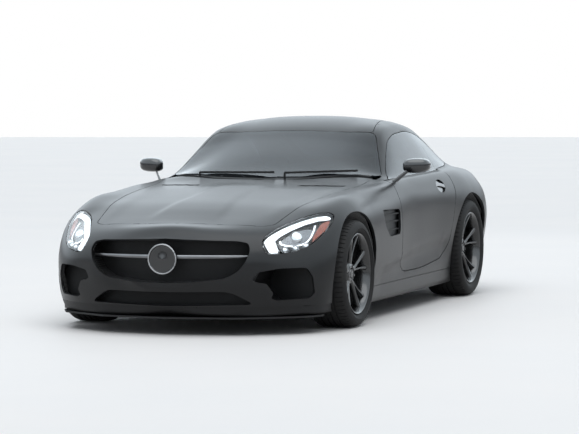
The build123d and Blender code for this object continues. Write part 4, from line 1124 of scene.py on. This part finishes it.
# z, y, half width, half depth
BACK_REST = [(330, 860, 150, 55), (400, 868, 168, 62), (550, 888, 176, 60), (720, 915, 172, 55), (830, 935, 140, 48)]
BACK_REST += [(880, 944, 96, 40), (950, 955, 92, 42), (990, 962, 74, 30)]
BOLSTER = [(470, 340), (640, 350), (800, 345), (850, 400), (868, 560), (895, 700)]  # y, z
for hand, side in (("left", 1), ("right", -1)):
    middle = side * SEAT_MIDDLE
    cushion = [oval((middle, y, z), (1, 0, 0), (0, 0, 1), w, h, 3.2, 32) for y, z, w, h in CUSHION]
    back_rest = [oval((middle, y, z), (1, 0, 0), (0, 1, 0), w, d, 3.0, 32) for z, y, w, d in BACK_REST]
    bolsters = [tube([(middle + edge, y, z) for y, z in BOLSTER], 36, 16) for edge in (-178, 178)]
    seat = mesh_object(f"seat_{hand}", *merged(lofted(cushion), lofted(back_rest), *bolsters))
    smoother = seat.modifiers.new("smooth", "SUBSURF")
    smoother.levels = smoother.render_levels = 1
    dressed(seat, LEATHER, "body", "leather", *(["seats"] if side == 1 else []))
column = Vector((0, 204, 81.6)).normalized()
hub_place = Vector((370, 205, 764))
across = Vector((1, 0, 0))
upwards = across.cross(column).normalized()
if upwards.z < 0:
    upwards = -upwards
rim_rings = []
for a in round_angles(64):
    here = hub_place + (across * math.cos(a) + upwards * math.sin(a)) * 171
    rim_rings.append(oval(here, (here - hub_place).normalized(), column, 14, 15, 2, 12))
parts = [lofted(rim_rings + [rim_rings[0]], capped=False)]
PAD = ((-26, 40, 36), (10, 74, 62), (24, 66, 54), (28, 40, 30))  # along the column, half width, half height
parts.append(lofted([oval(hub_place + column * d, across, upwards, a, b, 3, 28) for d, a, b in PAD]))
SIDE_ARM, LOW_ARM = ((50, 28), (110, 20), (166, 16)), ((40, 34), (110, 22), (166, 18))  # reach, half width
for out, flat, arm in ((-across, upwards, SIDE_ARM), (across, upwards, SIDE_ARM), (-upwards, across, LOW_ARM)):
    parts.append(lofted([oval(hub_place + out * reach, flat, column, w, 8, 3, 12) for reach, w in arm]))
dressed(mesh_object("steering_wheel_rim", *merged(*parts)), LEATHER, "steering", "leather", "steering_wheel")

# Finishes of the frame's nodes; the panels get the paint
FINISHES = (
    (PLASTIC, ("cowl", "floor_pan", "side_ducts", "side_vents", "splitter", "diffuser", "dashboard", "wipers")),
    (MESH, ("grille",)), (CARPET, ("wheelhouses",)), (ALLOY, ("engine",)), (CHROME, ("exhaust_tips",)),
    (IRON, ("front_suspension", "rear_suspension", "knuckle_front_left", "knuckle_front_right")),
    (LEATHER, ("steering_wheel", "seats")), (DARK_METAL, ("grille_bar",)), (GLOSS, ("mirror_left", "mirror_right")),
    (WHEEL, ("rim_front_left", "rim_front_right", "rim_rear_left", "rim_rear_right")),
    (RUBBER, ("tyre_front_left", "tyre_front_right", "tyre_rear_left", "tyre_rear_right")),
)
finish_of = {name: stuff for stuff, names in FINISHES for name in names}
for name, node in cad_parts.items():
    node.data.materials.clear()
    node.data.materials.append(finish_of.get(name, PAINT))

# Floor, light and camera
FLOOR_HALF, FLOOR_STEPS = 60.0, 40
floor_places = [FLOOR_HALF * (2 * i / FLOOR_STEPS - 1) for i in range(FLOOR_STEPS + 1)]
floor_verts = [(x, y, -0.0005) for y in floor_places for x in floor_places]
floor = mesh_object("floor", floor_verts, quads(len(floor_places), len(floor_places), False, False))
floor.data.materials.append(PALE_FLOOR)

world = bpy.data.worlds.new("studio")
scene.world = world
world.use_nodes = True
sky = world.node_tree
sky.nodes.clear()


def ray(kind):
    return new_node(sky, "ShaderNodeLightPath", out=f"Is {kind} Ray")


def background(colour, strength):
    return new_node(sky, "ShaderNodeBackground", sockets={"Color": colour, "Strength": strength})


def either(factor, first, second):
    return new_node(sky, "ShaderNodeMixShader", sockets={0: factor, 1: first, 2: second})


# White to the camera and through glass, a soft grey light, and a sky for gloss that darkens to its horizon
height = new_node(sky, "ShaderNodeTexCoord", out="Generated").axis("Z")
haze = height.ramp((0.01, (0.1, 0.1, 0.105)), (0.17, (0.84, 0.93, 1.0)))
shown = ray("Camera").maths("MAXIMUM", ray("Transmission"))
plain = either(shown, background((0.86, 0.9, 0.95, 1), 0.3), background((1, 1, 1, 1), 1.0))
surface = either(ray("Glossy"), plain, background(haze, 2.0))
sky.links.new(surface.socket, sky.nodes.new("ShaderNodeOutputWorld").inputs[0])


def softbox(name, place, target, size, power):
    """A large area light aimed at a point."""
    lamp = bpy.data.lights.new(name, "AREA")
    lamp.shape = "RECTANGLE"
    lamp.size, lamp.size_y = size
    lamp.energy = power
    holder = bpy.data.objects.new(name, lamp)
    scene.collection.objects.link(holder)
    aim = (Vector(target) - Vector(place)).normalized()
    holder.rotation_euler = aim.to_track_quat("-Z", "Y").to_euler()
    holder.location = place
    holder.visible_glossy = False
    return holder


softbox("overhead", (-0.5, -1.5, 7.0), (0, -0.5, 0), (6, 8), 60)
softbox("front_left", (6.0, -6.0, 4.2), (0, 0, 0.7), (8, 5), 30)
softbox("right_side", (-7.5, -3.0, 3.4), (0, 0, 0.6), (4, 3), 30)
softbox("rear", (1.5, 8.0, 4.0), (0, 0, 0.8), (9, 5), 30)
daylight = bpy.data.lights.new("daylight", "SUN")
daylight.energy = 2.0
daylight.angle = math.radians(70)
daylight_holder = bpy.data.objects.new("daylight", daylight)
scene.collection.objects.link(daylight_holder)
daylight_holder.rotation_euler = Vector((-0.15, 0.35, -1)).to_track_quat("-Z", "Y").to_euler()

AZIMUTH, ELEVATION, ROLL = math.radians(19.31), math.radians(4.715), math.radians(-0.362)
DISTANCE, FOCAL, OFF_X, OFF_Z = 18.0, 2643.439, -2.587, 89.728  # metres, then pixels of the 579 wide photo
back = Vector((math.sin(AZIMUTH) * math.cos(ELEVATION), -math.cos(AZIMUTH) * math.cos(ELEVATION),
               math.sin(ELEVATION)))
level = Vector((math.cos(AZIMUTH), math.sin(AZIMUTH), 0))
upward = back.cross(level)
right = level * math.cos(ROLL) + upward * math.sin(ROLL)
up = upward * math.cos(ROLL) - level * math.sin(ROLL)
eye = back * DISTANCE
look = (-back - right * (OFF_X / FOCAL) + up * (OFF_Z / FOCAL)).normalized()
z_axis = -look
x_axis = (right - z_axis * right.dot(z_axis)).normalized()
y_axis = z_axis.cross(x_axis)
camera = bpy.data.cameras.new("camera")
camera.sensor_width = 36.0
camera.sensor_fit = "HORIZONTAL"
camera.lens = FOCAL / 579 * 36.0
camera.clip_end = 200
holder = bpy.data.objects.new("camera", camera)
scene.collection.objects.link(holder)
holder.matrix_world = Matrix((
    (x_axis.x, y_axis.x, z_axis.x, eye.x), (x_axis.y, y_axis.y, z_axis.y, eye.y),
    (x_axis.z, y_axis.z, z_axis.z, eye.z), (0, 0, 0, 1)))
scene.camera = holder
scene.view_settings.view_transform = "Standard"
scene.use_nodes = False
